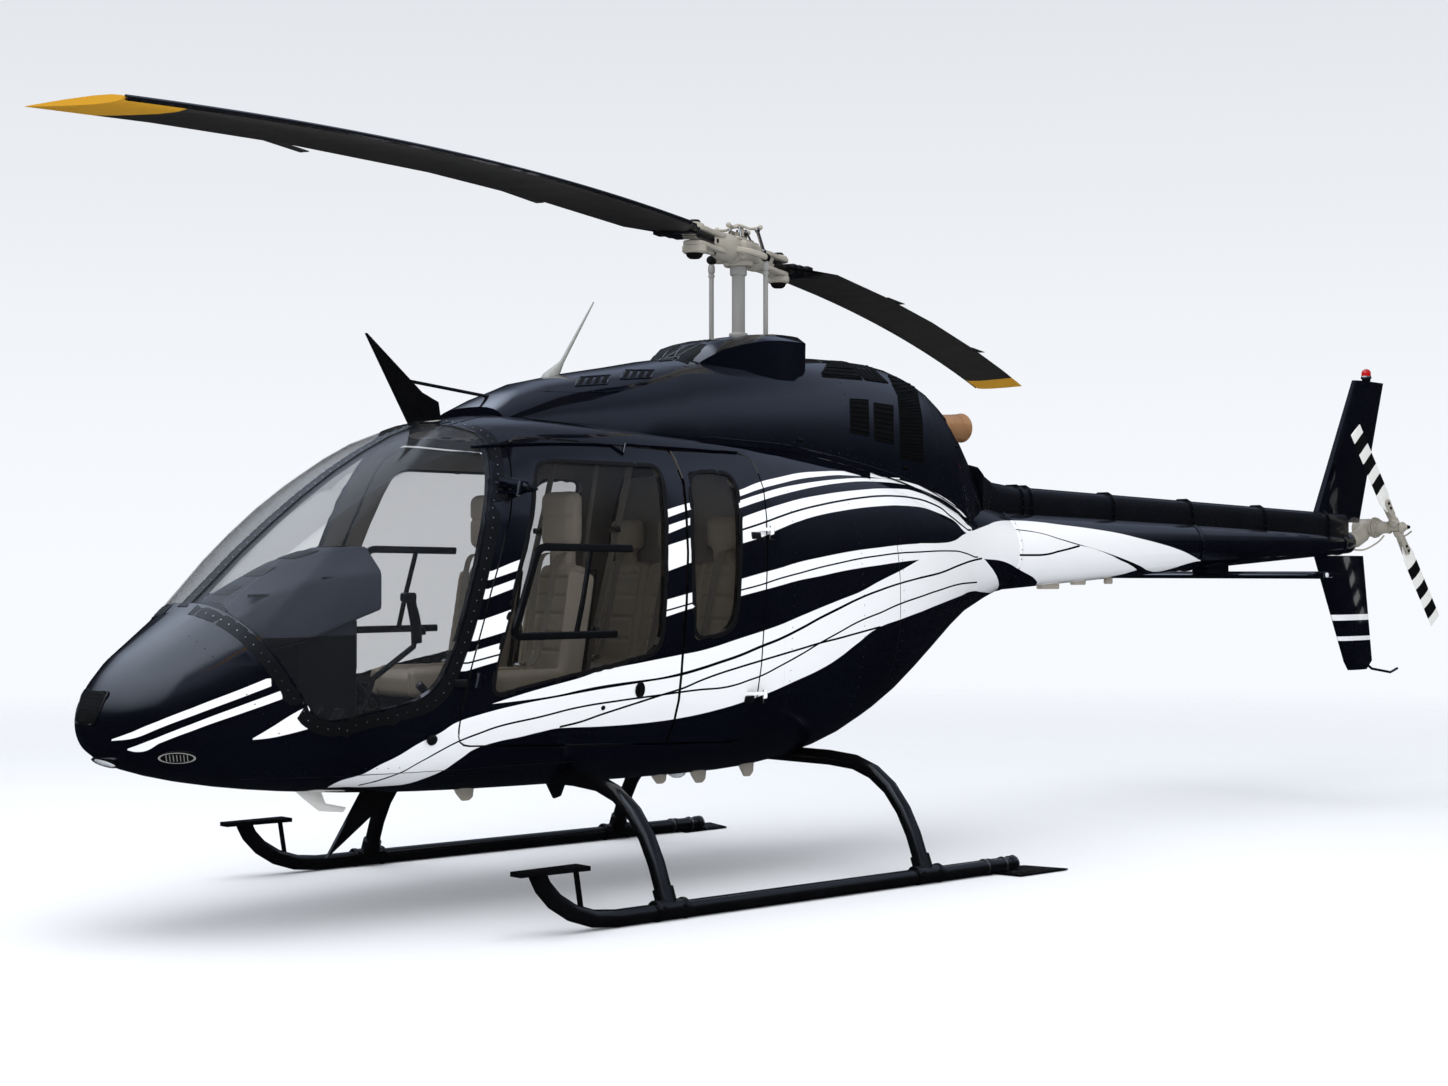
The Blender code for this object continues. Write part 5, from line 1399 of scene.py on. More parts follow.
LOUVRE_TOPS = [     # pixels of the photograph: corners of each dark opening, round from the front low one
    [(822, 376), (830, 361), (848, 362), (862, 379)],
    [(846, 362), (868, 364), (888, 383), (866, 380)],
]
LOUVRE_SIDES = [
    [(850, 399), (868, 400), (869, 436), (851, 432)],
    [(874, 403), (893, 406), (893, 444), (875, 440)],
]
LONG_GRILLE = [(884, 366), (904, 371), (917, 392), (922, 420), (923, 462), (901, 458), (900, 420), (898, 396)]
FORWARD_SLOTS = [
    [(575, 386), (580, 377), (611, 375), (607, 384)],
    [(620, 379), (625, 370), (655, 370), (651, 378)],
]


def seen_path(pixels, steps=8, closed=True):
    """Points of the skin under a line of pixels."""
    pts = [Vector(p) for p in pixels]
    out = []
    for a, b in zip(pts, pts[1:] + pts[:1] if closed else pts[1:]):
        out += [seen(*a.lerp(b, k / steps))[0] for k in range(steps)]
    if not closed:
        out.append(seen(*pts[-1])[0])
    return [hit for hit in out if hit]


def quad_point(corners, u, v):
    """The pixel at a share of the way across and down four corners."""
    a, b, c, d = (Vector(p) for p in corners)
    return (a * (1 - u) + b * u) * (1 - v) + (d * (1 - u) + c * u) * v


def seen_row(corners, shares):
    """The skin under a row of places between four pixels."""
    hits = [seen(*quad_point(corners, u, v))[0] for u, v in shares]
    return [hit for hit in hits if hit]


LOOSE_PITCH = 0.02      # where one end of an opening lies past the silhouette


def louvre(dark, slats, corners, rows, across=True, rim=0.006):
    """A sheet of painted shade in an opening, with thin slats, under four pixels of the photograph."""
    bead_on(slats, seen_path(corners, 10), rim, 0.006, closed=True, lift=0.001)
    lines = 2 * rows + 1
    middles = [(0.5, 0), (0.5, 1)] if across else [(0, 0.5), (1, 0.5)]
    ends = seen_row(corners, middles)
    pitch = (ends[0] - ends[1]).length / lines if len(ends) == 2 else LOOSE_PITCH
    for k in range(lines):
        share = (k + 0.5) / lines
        path = seen_row(corners, [(c / 8, share) if across else (share, c / 8) for c in range(9)])
        if len(path) < 4:
            continue
        # Dark beads side by side fill the opening with painted shade
        bead_on(dark, path, pitch * 1.15, 0.0025, lift=0.0005)
        if k % 2:
            bead_on(slats, path, pitch * 0.55, 0.006, lift=0.002)


def cowl_openings():
    """Louvres and the long grille on the engine cowl."""
    dark, slats = bmesh.new(), bmesh.new()
    for corners in LOUVRE_TOPS:
        louvre(dark, slats, corners, 4, across=False)
    for corners in LOUVRE_SIDES:
        louvre(dark, slats, corners, 7)
    for spots, rows in (((0, 1, 2, 7), 7), ((7, 2, 3, 6), 8), ((6, 3, 4, 5), 11)):
        louvre(dark, slats, [LONG_GRILLE[k] for k in spots], rows, rim=0.003)
    # The dark openings are painted shade
    emit("cowl_openings", dark, mesh_and_painted_shade, mirror=True)
    emit("cowl_louvre_slats", slats, cowl_slat, mirror=True)


def forward_slots():
    """The two rimmed slots on the forward cowl."""
    dark, rims = bmesh.new(), bmesh.new()
    for corners in FORWARD_SLOTS:
        bead_on(rims, seen_path(corners, 8), 0.008, 0.006, closed=True, lift=0.001)
        # Dark beads fill each slot with painted shade
        for k in range(4):
            bead_on(dark, seen_row(corners, [(c / 8, (k + 0.5) / 4) for c in range(9)]), 0.020, 0.002,
                    lift=0.0006)
    emit("forward_cowl_slots", dark, mesh_and_painted_shade, mirror=True)
    emit("forward_cowl_slot_rims", rims, cowl_paint, mirror=True)


COWL_LATCHES = ((957, 447), (905, 468), (800, 440))     # pixels, as the lines below
COWL_FOOT = [(700, 442), (740, 446), (780, 450), (820, 458), (860, 469), (900, 482), (930, 496), (960, 515),
             (978, 527)]
COWL_JOINTS = [
    [(812, 356), (828, 368), (840, 388), (846, 412), (850, 440), (851, 462)],
    [(905, 372), (924, 396), (935, 430), (940, 470), (944, 500)],
    [(536, 391), (600, 392), (640, 386)],
]


def cowl_joints():
    """Rails along the foot of the cowls, their panel joints, screws and latches."""
    bm, screws, latch = bmesh.new(), bmesh.new(), bmesh.new()
    foot = seen_path(flow(COWL_FOOT, 5), 2, closed=False)
    bead_on(bm, foot, 0.008, 0.010, lift=0.002)
    bead_on(bm, [hug(p + Vector((0, 0, 0.030)))[0] for p in foot], 0.006, 0.006, lift=0.001)
    stud_row(screws, [hug(p + Vector((0, 0, 0.055)))[0] for p in foot], 0.065, 0.005, 0.0025)
    for line in COWL_JOINTS:
        path = seen_path(flow(line, 5), 2, closed=False)
        bead_on(bm, path, 0.004, 0.002, lift=0.0004)
        stud_row(screws, [hug(p + Vector((0, 0.022, 0)))[0] for p in path], 0.075, 0.0045, 0.0022)
    for pixel in COWL_LATCHES:
        hit, normal = seen(*pixel)
        place = facing(hit, normal)
        block(latch, (-0.018, -0.010, -0.001), (0.018, 0.010, 0.006), 0.003, 2, place)
        stud(latch, place @ Vector((0.010, 0, 0.006)), normal, 0.005, 0.003, 10)
    emit("cowl_rails", bm, cowl_paint, mirror=True)
    emit("cowl_screws", screws, plated, mirror=True)
    emit("cowl_latches", latch, plated, mirror=True)


FAIRING_STRIP = [(700, 337), (712, 339), (688, 364), (676, 360)]
FAIRING_SCREEN = [(676, 341), (688, 338), (672, 360), (660, 361)]


def fairing_details():
    """Intake mesh at the front of the mast fairing and the dark strip behind it."""
    dark, rims = bmesh.new(), bmesh.new()
    for corners in (FAIRING_STRIP, FAIRING_SCREEN):
        # The beads lie close, so the intake screen reads as black mesh over painted shade
        for k in range(6):
            path = seen_row(corners, [((k + 0.5) / 6, c / 8) for c in range(9)])
            if len(path) > 3:
                bead_on(dark, path, 0.016, 0.002, lift=0.0006)
    bead_on(rims, seen_path(FAIRING_SCREEN, 8), 0.006, 0.004, closed=True, lift=0.001)
    emit("fairing_intake_mesh", dark, mesh_and_painted_shade, mirror=True)
    emit("fairing_intake_rims", rims, cowl_paint, mirror=True)


EXHAUST_BEND, EXHAUST_END = at(0, 1.500, 2.296), at(0, 1.715, 2.308)


def exhaust_details():
    """Rolled lip and sooted bore of the exhaust."""
    place = facing(EXHAUST_END, EXHAUST_END - EXHAUST_BEND)
    bm = bmesh.new()
    turned(bm, [(0.069, -0.060), (0.069, 0.000), (0.073, 0.006), (0.080, 0.006), (0.083, 0.000),
                (0.083, -0.008), (0.079, -0.014), (0.0785, -0.060)], place, 40)
    emit("exhaust_lip", bm, exhaust_steel)
    bm = bmesh.new()
    turned(bm, [(0, -0.180), (0.0672, -0.180), (0.0672, -0.002), (0.0664, -0.002), (0.0660, -0.170),
                (0, -0.172)], place, 32)
    emit("exhaust_soot", bm, soot)


# Tail

BOOM_FRONT, BOOM_REAR = 1.9503, 5.690       # y, and at each end the radius and the height of the middle
FRONT_RADIUS, REAR_RADIUS, FRONT_Z, REAR_Z = 0.234, 0.072, 1.615, 1.688


def boom_radius(y):
    """Radius and height of the tapering boom at a station."""
    share = (y - BOOM_FRONT) / (BOOM_REAR - BOOM_FRONT)
    return FRONT_RADIUS + (REAR_RADIUS - FRONT_RADIUS) * share, FRONT_Z + (REAR_Z - FRONT_Z) * share


def boom_joints(bands, screws):
    """Bands round the joints of the boom, with a screw every few degrees."""
    for y, width in ((1.965, 0.030), (3.820, 0.050), (5.560, 0.040)):
        radius, z = boom_radius(y)
        half = width / 2
        place = placed(0, y, z) @ Matrix.Rotation(-math.pi / 2, 4, "X")
        turned(bands, [(radius - 0.004, -half), (radius + 0.003, -half), (radius + 0.005, -half + 0.004),
                       (radius + 0.005, half - 0.004), (radius + 0.003, half), (radius - 0.004, half)],
               place, 48)
        for k in range(28):
            turn = math.tau * k / 28
            normal = Vector((math.cos(turn), 0, math.sin(turn)))
            stud(screws, at(0, y, z) + normal * (radius + 0.005), normal, 0.004, 0.0025)


def cover_straps(straps, screws):
    """Straps over the shaft cover, each held by two screws a side."""
    for y in (2.150, 2.230, 3.000, 3.800, 4.600, 5.350):
        share = (y - 2.1) / 3.5
        half, top = 0.088 + (0.070 - 0.088) * share, 1.985 + (1.885 - 1.985) * share
        port = [(half + 0.003, top - 0.18), (half + 0.003, top - 0.055), (half * 0.80, top - 0.013),
                (half * 0.45, top + 0.003)]
        section = [(-x, z) for x, z in port] + port[::-1]
        sweep(straps, along_path([at(x, y, z) for x, z in section], up=(0, 1, 0)),
              bar_profile(0.024, 0.004, 0.4))
        for side in (1, -1):
            for z in (top - 0.070, top - 0.120):
                stud(screws, at(side * (half + 0.004), y, z), Vector((side, 0, 0)), 0.006, 0.004, 10)


def boom_fittings():
    """Joint bands, cover straps and fasteners, and the fittings under the boom."""
    bands, screws, straps, low = bmesh.new(), bmesh.new(), bmesh.new(), bmesh.new()
    boom_joints(bands, screws)
    cover_straps(straps, screws)
    for y, length, width, drop in ((2.480, 0.160, 0.050, 0.026), (2.760, 0.110, 0.040, 0.020),
                                   (3.050, 0.060, 0.030, 0.034)):
        radius, z = boom_radius(y)
        block(low, (-width / 2, -length / 2, -radius - drop), (width / 2, length / 2, -radius + 0.010),
              0.008, 3, placed(0, y, z))
    emit("boom_bands", bands, boom_paint)
    emit("boom_screws", screws, plated)
    emit("shaft_cover_straps", straps, cover_paint)
    emit("boom_underside_fittings", low, antenna_beige)


BEACON_FOOT = placed(0, 5.940, 2.840)


def fin_lights():
    """Beacon on the upper fin, and a position light on each tip of the stabilizer."""
    bm = bmesh.new()
    turned(bm, [(0, -0.004), (0.035, -0.004), (0.037, 0.004), (0.034, 0.014), (0.0315, 0.016), (0, 0.016)],
           BEACON_FOOT, 28)
    emit("beacon_base", bm, ground_steel)
    bm = bmesh.new()
    turned(bm, [(0, 0.014), (0.0315, 0.014), (0.0325, 0.020), (0.0310, 0.044), (0.0225, 0.058),
                (0.0100, 0.064), (0, 0.065)], BEACON_FOOT, 28)
    emit("beacon_lens", bm, red_lens)
    bm, lens = bmesh.new(), bmesh.new()
    for side in (1, -1):
        place = placed(side * 0.826, 4.130, 1.470) @ Matrix.Rotation(side * math.pi / 2, 4, "Y")
        turned(bm, [(0, -0.004), (0.020, -0.004), (0.022, 0.004), (0.018, 0.008), (0, 0.008)], place, 20)
        turned(lens, [(0, 0.006), (0.016, 0.006), (0.014, 0.014), (0.006, 0.018), (0, 0.018)], place, 20)
    emit("position_light_bases", bm, plated)
    emit("position_light_lenses", lens, clear_lens)


TAIL_ANGLE = math.radians(128.0)
TAIL_SPAN = Vector((0, math.cos(TAIL_ANGLE), math.sin(TAIL_ANGLE)))


def tail_grip(bm, dark, way):
    """Barrel, forked plates, bolts and pitch arm that hold one tail blade."""
    across = Vector((0, -TAIL_SPAN.z, TAIL_SPAN.y))
    made = Matrix((TAIL_SPAN * way, across * way, Vector((1, 0, 0)))).transposed().to_4x4()
    made.translation = TAIL_HUB
    turned(bm, [(0, 0.020), (0.030, 0.020), (0.034, 0.028), (0.034, 0.060), (0.028, 0.072), (0.026, 0.110),
                (0, 0.112)], lying(made), 24)
    for lift in (1, -1):
        low, high = sorted((lift * 0.0115, lift * 0.0185))
        slab(bm, [(0.095, -0.026), (0.215, -0.032), (0.235, 0.0), (0.215, 0.032), (0.095, 0.026)],
             low, high, made, 0.003, 2)
        for x in (0.165, 0.205):
            place = made @ Matrix.Translation((x, 0, lift * 0.0185)) @ (FLIP if lift < 0 else Matrix())
            turned(dark, [(0, -0.002), (0.010, -0.002), (0.010, 0.005), (0.007, 0.008), (0, 0.008)], place,
                   12)
    arm = [(0.100, 0.030, 0.012), (0.098, 0.050, 0.030), (0.070, 0.045, 0.070)]
    rod(bm, [made @ Vector(p) for p in arm], 0.006, 10)


def tail_rotor_details():
    """Grips, bolts and the spider of the tail rotor."""
    bm, dark = bmesh.new(), bmesh.new()
    for way in (1, -1):
        tail_grip(bm, dark, way)
    spider = facing(TAIL_HUB + Vector((0.040, 0, 0)), (1, 0, 0))
    turned(bm, [(0, -0.002), (0.034, -0.002), (0.038, 0.006), (0.032, 0.020), (0.020, 0.026), (0.016, 0.050),
                (0, 0.052)], spider, 28)
    turned(dark, [(0, 0.050), (0.012, 0.050), (0.012, 0.062), (0, 0.064)], spider, 6)
    emit("tail_rotor_grips", bm, hub_primer, "tail_rotor")
    emit("tail_rotor_bolts", dark, plated, "tail_rotor")


def tail_gearbox_fittings():
    """Flanges and bolts on the tail gearbox, and its control rod."""
    bm = bmesh.new()
    centre = Vector((0, TAIL_HUB.y, TAIL_HUB.z))
    for x, radius in ((0.070, 0.072), (0.084, 0.068), (0.110, 0.052), (0.182, 0.044)):
        disc(bm, radius, -0.005, 0.005, facing(centre + Vector((x, 0, 0)), (1, 0, 0)), 32)
    for k in range(8):
        turn = math.tau * k / 8
        stud(bm, centre + Vector((0.089, 0.058 * math.cos(turn), 0.058 * math.sin(turn))),
             Vector((1, 0, 0)), 0.007, 0.008, 6)
    path = [at(0.030, 5.640, 1.650), at(0.080, 5.760, 1.640), at(0.130, 5.860, 1.690),
            at(0.160, 5.900, 1.740)]
    rod(bm, flow(path, 6), 0.006, 8)
    emit("tail_gearbox_fittings", bm, hub_primer)


# Landing gear

TRACK_HALF = 1.180
TUBE_R = 0.038


SKID_Z = 0.0435


def skid_rings(bm, stations, z, profile, steps):
    """A ring round the skid tube at each station."""
    for y in stations:
        turned(bm, profile, placed(TRACK_HALF, y, z) @ QUARTER_X, steps)


def skid_details():
    """Clamps, bolts, wear bands, end sleeves and the ribbed plates of the skids."""
    sleeves, bolts, bands, ribs = bmesh.new(), bmesh.new(), bmesh.new(), bmesh.new()
    for y in (-1.480, 0.140):
        skid_rings(sleeves, (y - 0.078, y + 0.078), SKID_Z, [
            (0.0400, -0.010), (0.0455, -0.010), (0.0475, -0.006), (0.0475, 0.006), (0.0455, 0.010),
            (0.0400, 0.010)], 28)
        for dx, dy in ((0.030, -0.055), (0.030, 0.055), (-0.030, -0.055), (-0.030, 0.055)):
            point = at(TRACK_HALF + dx * 1.25, y + dy, 0.062)
            stud(bolts, point, Vector((dx, 0, 0.030)).normalized(), 0.008, 0.008, 6)
    skid_rings(sleeves, (0.580, 0.755), TUBE_R,
               [(0.0370, -0.020), (0.0400, -0.020), (0.0415, -0.016), (0.0415, 0.016), (0.0400, 0.020),
                (0.0370, 0.020)], 32)
    emit("skid_clamps", sleeves, gear_paint, mirror=True)
    emit("skid_bolts", bolts, plated, mirror=True)
    skid_rings(bands, (0.555, 0.690, 0.772), TUBE_R, [
        (0.0370, -0.005), (0.0425, -0.005), (0.0435, 0.000), (0.0425, 0.005), (0.0370, 0.005)], 32)
    emit("skid_silver_bands", bands, ground_steel, mirror=True)
    for k in range(9):
        y = 0.660 + 0.030 * k
        path = [at(TRACK_HALF - 0.050 + 0.17 * s / 6 + 0.02 * k / 8, y + 0.04 * s / 6,
                   0.0125) for s in range(7)]
        sweep(ribs, along_path(path), bar_profile(0.008, 0.005, 0.4))
    emit("ground_plate_ribs", ribs, gear_paint, mirror=True)


def belly_blade(bm, y, outline, drop, half, bevel):
    """An upright plate under the belly, its outline given from the skin down."""
    place = Matrix.Translation(below(y) + Vector((0, 0, drop)))
    slab(bm, outline, -half, half, place @ ALONG_BODY, bevel, 2)


def belly_antennas():
    """Blade antennas and the lamp under the belly."""
    bm = bmesh.new()
    for y, chord, depth in ((-1.724, 0.120, 0.075), (-0.543, 0.110, 0.070), (-0.284, 0.120, 0.090),
                            (0.046, 0.120, 0.110)):
        belly_blade(bm, y, [(-chord / 2, 0.0), (chord / 2, 0.0), (chord * 0.42, -depth * 0.8),
                            (chord * 0.25, -depth), (-chord * 0.05, -depth),
                            (-chord * 0.30, -depth * 0.55)], 0.006, 0.011, 0.006)
        block(bm, (-0.022, -chord * 0.62, -0.008), (0.022, chord * 0.62, 0.006), 0.004, 2,
              Matrix.Translation(below(y) + Vector((0, 0, 0.006))))
    emit("belly_blade_antennas", bm, antenna_beige)
    bm = bmesh.new()
    belly_blade(bm, -1.177, [(-0.075, 0.0), (0.060, 0.0), (0.020, -0.085), (-0.020, -0.095)], 0.005, 0.010,
                0.005)
    emit("belly_black_antenna", bm, trim_black)
    bm = bmesh.new()
    turned(bm, [(0, 0.004), (0.050, 0.004), (0.052, -0.010), (0.040, -0.030), (0.020, -0.042), (0, -0.044)],
           Matrix.Translation(below(-0.420)), 32)
    emit("belly_lamp", bm, clear_lens)
    bm = bmesh.new()
    belly_blade(bm, -2.520, [(-0.100, 0.010), (0.030, 0.010), (0.060, -0.060), (0.165, -0.085),
                             (0.150, -0.105), (0.030, -0.092), (-0.040, -0.040)], 0.0, 0.007, 0.004)
    emit("hooked_belly_antenna", bm, white_paint)

# Cabin interior

SEAT_X = 0.285
BENCH_PLACES = (-0.380, 0.000, 0.380)
BACK_LEAN = math.radians(8.8)


def settled(obj):
    """Puts what the modifiers make of the piece into its mesh."""
    graph = bpy.context.evaluated_depsgraph_get()
    mesh = bpy.data.meshes.new_from_object(obj.evaluated_get(graph))
    obj.modifiers.clear()
    obj.data = mesh


def points_of(mesh, what="co"):
    """Every place, or every normal, of a mesh as rows of three."""
    found = np.empty(len(mesh.vertices) * 3, np.float32)
    mesh.vertices.foreach_get(what, found)
    return found.reshape(-1, 3)


def sew(mesh, seams, depth, width):
    """Presses sewn channels into padding. A seam is the axis it faces and its sign, the axis across it, its
    place there, and low and high limits of x, y and z, all from the mast."""
    place, normal = points_of(mesh), points_of(mesh, "normal")
    move = np.zeros(len(place), np.float32)
    for face, sign, across, value, low, high in seams:
        low, high = np.array(low), np.array(high)
        shift = MAST_Y if across == 1 else 0.0
        inside = np.all((place >= low + (0, MAST_Y, 0)) & (place <= high + (0, MAST_Y, 0)), axis=1)
        turned_to = np.clip((normal[:, face] * sign - 0.35) / 0.3, 0, 1)
        press = depth * np.exp(-((place[:, across] - value - shift) / width) ** 2) * turned_to * inside
        move = np.maximum(move, press)
    place -= normal * move[:, None]
    mesh.vertices.foreach_set("co", place.ravel())
    mesh.update()


def stuffed(name, bm, voxel, cap, seams, depth=0.010, width=0.008):
    """Leather over foam: one skin round all the blocks, blown up by a cloth run, held to a cap, then sewn."""
    bmesh.ops.recalc_face_normals(bm, faces=bm.faces)
    mesh = bpy.data.meshes.new(name)
    bm.to_mesh(mesh)
    bm.free()
    obj = bpy.data.objects.new(name, mesh)
    bpy.context.scene.collection.objects.link(obj)
    remesh = obj.modifiers.new("voxels", "REMESH")
    remesh.mode, remesh.voxel_size = "VOXEL", voxel
    settled(obj)
    start = points_of(obj.data).copy()
    cloth = obj.modifiers.new("cloth", "CLOTH")
    cloth.settings.use_pressure = True
    cloth.settings.uniform_pressure_force = 4.0
    cloth.settings.effector_weights.gravity = 0.0
    scene = bpy.context.scene
    for number in range(1, 21):
        scene.frame_set(number)
    settled(obj)
    swell = points_of(obj.data) - start
    length = np.linalg.norm(swell, axis=1)
    held = start + swell * np.minimum(1.0, cap / np.maximum(length, 1e-9))[:, None]
    obj.data.vertices.foreach_set("co", held.ravel())
    scene.frame_set(1)
    finer = obj.modifiers.new("finer", "SUBSURF")
    finer.levels = finer.render_levels = 1
    settled(obj)
    sew(obj.data, seams, depth, width)
    obj.data.shade_smooth()
    obj.data.materials.clear()
    obj.data.materials.append(leather)
    return obj


def leaning(x, y, z):
    """A frame at the foot of a seat back: z up along it, y through its thickness."""
    return placed(x, y, z) @ Matrix.Rotation(-BACK_LEAN, 4, "X")


def front_seat_pad(bm, x):
    """Cushion, back, side bolsters and headrest of one front seat."""
    low = placed(x, 0, 0)
    block(bm, (-0.135, -1.945, 0.915), (0.135, -1.450, 1.020), 0.030, 4, low)
    back = leaning(x, -1.455, 1.000)
    block(bm, (-0.135, -0.028, 0.000), (0.135, 0.070, 0.540), 0.030, 4, back)
    for side in (1, -1):
        near, far = sorted((side * 0.125, side * 0.190))
        block(bm, (near, -1.940, 0.915), (far, -1.450, 1.045), 0.026, 4, low)
        block(bm, (near, -0.055, -0.020), (far, 0.070, 0.500), 0.026, 4, back)
    block(bm, (-0.070, -1.400, 1.500), (0.070, -1.330, 1.640), 0.020, 3, low)
    block(bm, (-0.120, -1.418, 1.612), (0.120, -1.325, 1.874), 0.042, 5, low)


UP, AHEAD = (2, 1), (1, -1)         # the axis and sign that a seam's face looks along
ACROSS, BACKWARD, HIGH = 0, 1, 2    # the axis that a seam is placed on


def seat_seams(x, half, rows, row_room, stops, stop_room, edge_rooms):
    """Seams of one place: rows up its back, stops along its cushion, and both side edges of each."""
    seams = []
    for z in rows:
        seams.append((*AHEAD, HIGH, z, (x - half, *row_room[0]), (x + half, *row_room[1])))
    for y in stops:
        seams.append((*UP, BACKWARD, y, (x - half, *stop_room[0]), (x + half, *stop_room[1])))
    for side in (1, -1):
        edge = x + side * 0.130
        for face, (low, high) in zip((AHEAD, UP), edge_rooms):
            seams.append((*face, ACROSS, edge, (x - 0.2, *low), (x + 0.2, *high)))
    return seams


def front_seat_seams(x):
    """Seams of a front seat, with one across its headrest."""
    seams = seat_seams(
        x, 0.128, (1.130, 1.215, 1.300, 1.385, 1.465), ((-1.60, 1.0), (-1.30, 1.58)),
        (-1.860, -1.770, -1.680, -1.590), ((-2.0, 0.9), (-1.48, 1.10)),
        (((-1.65, 1.06), (-1.20, 1.56)), ((-2.0, 0.9), (-1.50, 1.10))))
    return [*seams, (*AHEAD, HIGH, 1.745, (x - 0.13, -1.5, 1.6), (x + 0.13, -1.30, 1.90))]


def bench_seams(x):
    return seat_seams(
        x, 0.125, (1.150, 1.260, 1.370, 1.480), ((-0.62, 1.05), (-0.40, 1.56)),
        (-0.860, -0.740, -0.620), ((-0.96, 0.9), (-0.55, 1.10)),
        (((-0.66, 1.06), (-0.38, 1.55)), ((-0.96, 0.9), (-0.55, 1.10))))


def leather_pad(name, bm, voxel, seams, width, stood_for):
    """A padded piece in leather that replaces a plain seat."""
    pad = stuffed(name, bm, voxel, 0.010, seams, width=width)
    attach(pad, "airframe")
    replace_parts(pad, stood_for)


def seats():
    """Front seats and bench in sewn leather, each on its moulded base."""
    for x, port in ((SEAT_X, "port"), (-SEAT_X, "starboard")):
        bm = bmesh.new()
        front_seat_pad(bm, x)
        leather_pad("seat_cushion_" + port, bm, 0.009, front_seat_seams(x), 0.008, "seat_front_" + port)
    bm = bmesh.new()
    seams = []
    for x in BENCH_PLACES:
        low = placed(x, 0, 0)
        block(bm, (-0.183, -0.970, 0.915), (0.183, -0.430, 1.020), 0.032, 4, low)
        block(bm, (-0.183, 0.000, 0.000), (0.183, 0.085, 0.560), 0.032, 4, leaning(x, -0.535, 1.000))
        block(bm, (-0.060, -0.470, 1.540), (0.060, -0.405, 1.640), 0.018, 3, low)
        block(bm, (-0.105, -0.478, 1.612), (0.105, -0.388, 1.770), 0.036, 4, low)
        seams += bench_seams(x)
    leather_pad("seat_cushion_rear", bm, 0.012, seams, 0.010, "seat_rear")
    bm = bmesh.new()
    for x in (SEAT_X, -SEAT_X):
        block(bm, (x - 0.165, -1.890, 0.667), (x + 0.165, -1.465, 0.925), 0.018, 3, FROM_MAST)
        block(bm, (-0.172, 0.066, 0.020), (0.172, 0.088, 0.520), 0.010, 3, leaning(x, -1.455, 1.000))
    block(bm, (-0.495, -0.925, 0.667), (0.495, -0.405, 0.925), 0.018, 3, FROM_MAST)
    emit("seat_bases", bm, console_abs)


def strap(bm, points, width=0.046):
    """Flat webbing through points measured from the mast."""
    path = flow([at(*p) for p in points], 5)
    sweep(bm, along_path(path, up=(1, 0, 0)), bar_profile(0.003, width, 0.3))


def harness():
    """Shoulder straps from the roof, belts over the cushions and their buckles."""
    bm, buckles = bmesh.new(), bmesh.new()
    for side in (1, -1):
        x = side * 0.30
        strap(bm, [(x, -0.950, 2.090), (x, -1.028, 1.790), (x, -1.185, 1.220), (x, -1.290, 0.840)])
        strap(bm, [(x, -1.150, 2.110), (x, -1.227, 1.693), (x, -1.265, 1.361), (x, -1.327, 0.900)], 0.030)
        for dx in (-0.060, 0.060):
            x = side * SEAT_X
            strap(bm, [(x + dx, -1.395, 1.580), (x + dx, -1.452, 1.540), (x + dx * 0.9, -1.500, 1.300),
                       (x + dx * 0.5, -1.545, 1.100), (x + dx * 0.3, -1.600, 1.062)], 0.044)
    for x in BENCH_PLACES:
        strap(bm, [(x + 0.050, -0.440, 1.600), (x + 0.050, -0.520, 1.560), (x + 0.030, -0.572, 1.300),
                   (x + 0.010, -0.610, 1.090), (x, -0.640, 1.060)], 0.044)
        block(buckles, (x - 0.026, -0.665, 1.048), (x + 0.026, -0.625, 1.070), 0.006, 3, FROM_MAST)
    for side in (1, -1):
        x = side * SEAT_X
        turned(buckles, [(0, -0.006), (0.030, -0.006), (0.032, 0.004), (0.026, 0.012), (0, 0.013)],
               placed(x, -1.610, 1.066), 28)
        x = side * 0.30
        for z, shift in ((1.220, 0.0), (1.693, 0.130)):
            block(buckles, (x - 0.030, -1.205, z - 0.014), (x + 0.030, -1.180, z + 0.014), 0.005, 2,
                  placed(0, shift, 0))
    emit("harness_webbing", bm, webbing)
    emit("harness_buckles", buckles, ground_steel)


# y, height of the underside, of the edge along each side, and of the crown
HOOD = [
    (-3.030, 1.150, 1.290, 1.365),
    (-2.870, 1.160, 1.400, 1.450),
    (-2.700, 1.190, 1.450, 1.535),
    (-2.480, 1.270, 1.480, 1.600),
    (-2.320, 1.325, 1.492, 1.605),
]
HOOD_HALF, CROWN_HALF = 0.230, 0.100


def crown(y):
    """Height of the hood's crown at a station."""
    for (first, _, _, low), (second, _, _, high) in zip(HOOD, HOOD[1:]):
        if y <= second:
            return low + (high - low) * (y - first) / (second - first)
    return HOOD[-1][3]


def hood_shell():
    """The hood over the instruments, on its pedestal."""
    bm = bmesh.new()
    rings = []
    for y, low, edge, top in HOOD:
        outline = [(-HOOD_HALF, low), (HOOD_HALF, low), (HOOD_HALF, edge), (CROWN_HALF, top),
                   (-CROWN_HALF, top), (-HOOD_HALF, edge)]
        rings.append(edge_ring(bm, rounded([at(x, y, z) for x, z in outline], 0.022, 4)))
    join_rings(bm, rings)
    block(bm, (-0.130, -2.675, 0.667), (0.130, -2.378, 1.320), 0.014, 3, FROM_MAST)
    # Its material paints shade below the hood's lip
    hood = emit("instrument_hood", bm, grey_hood_with_painted_shade, sharp=50)
    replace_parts(hood, "instrument_console")


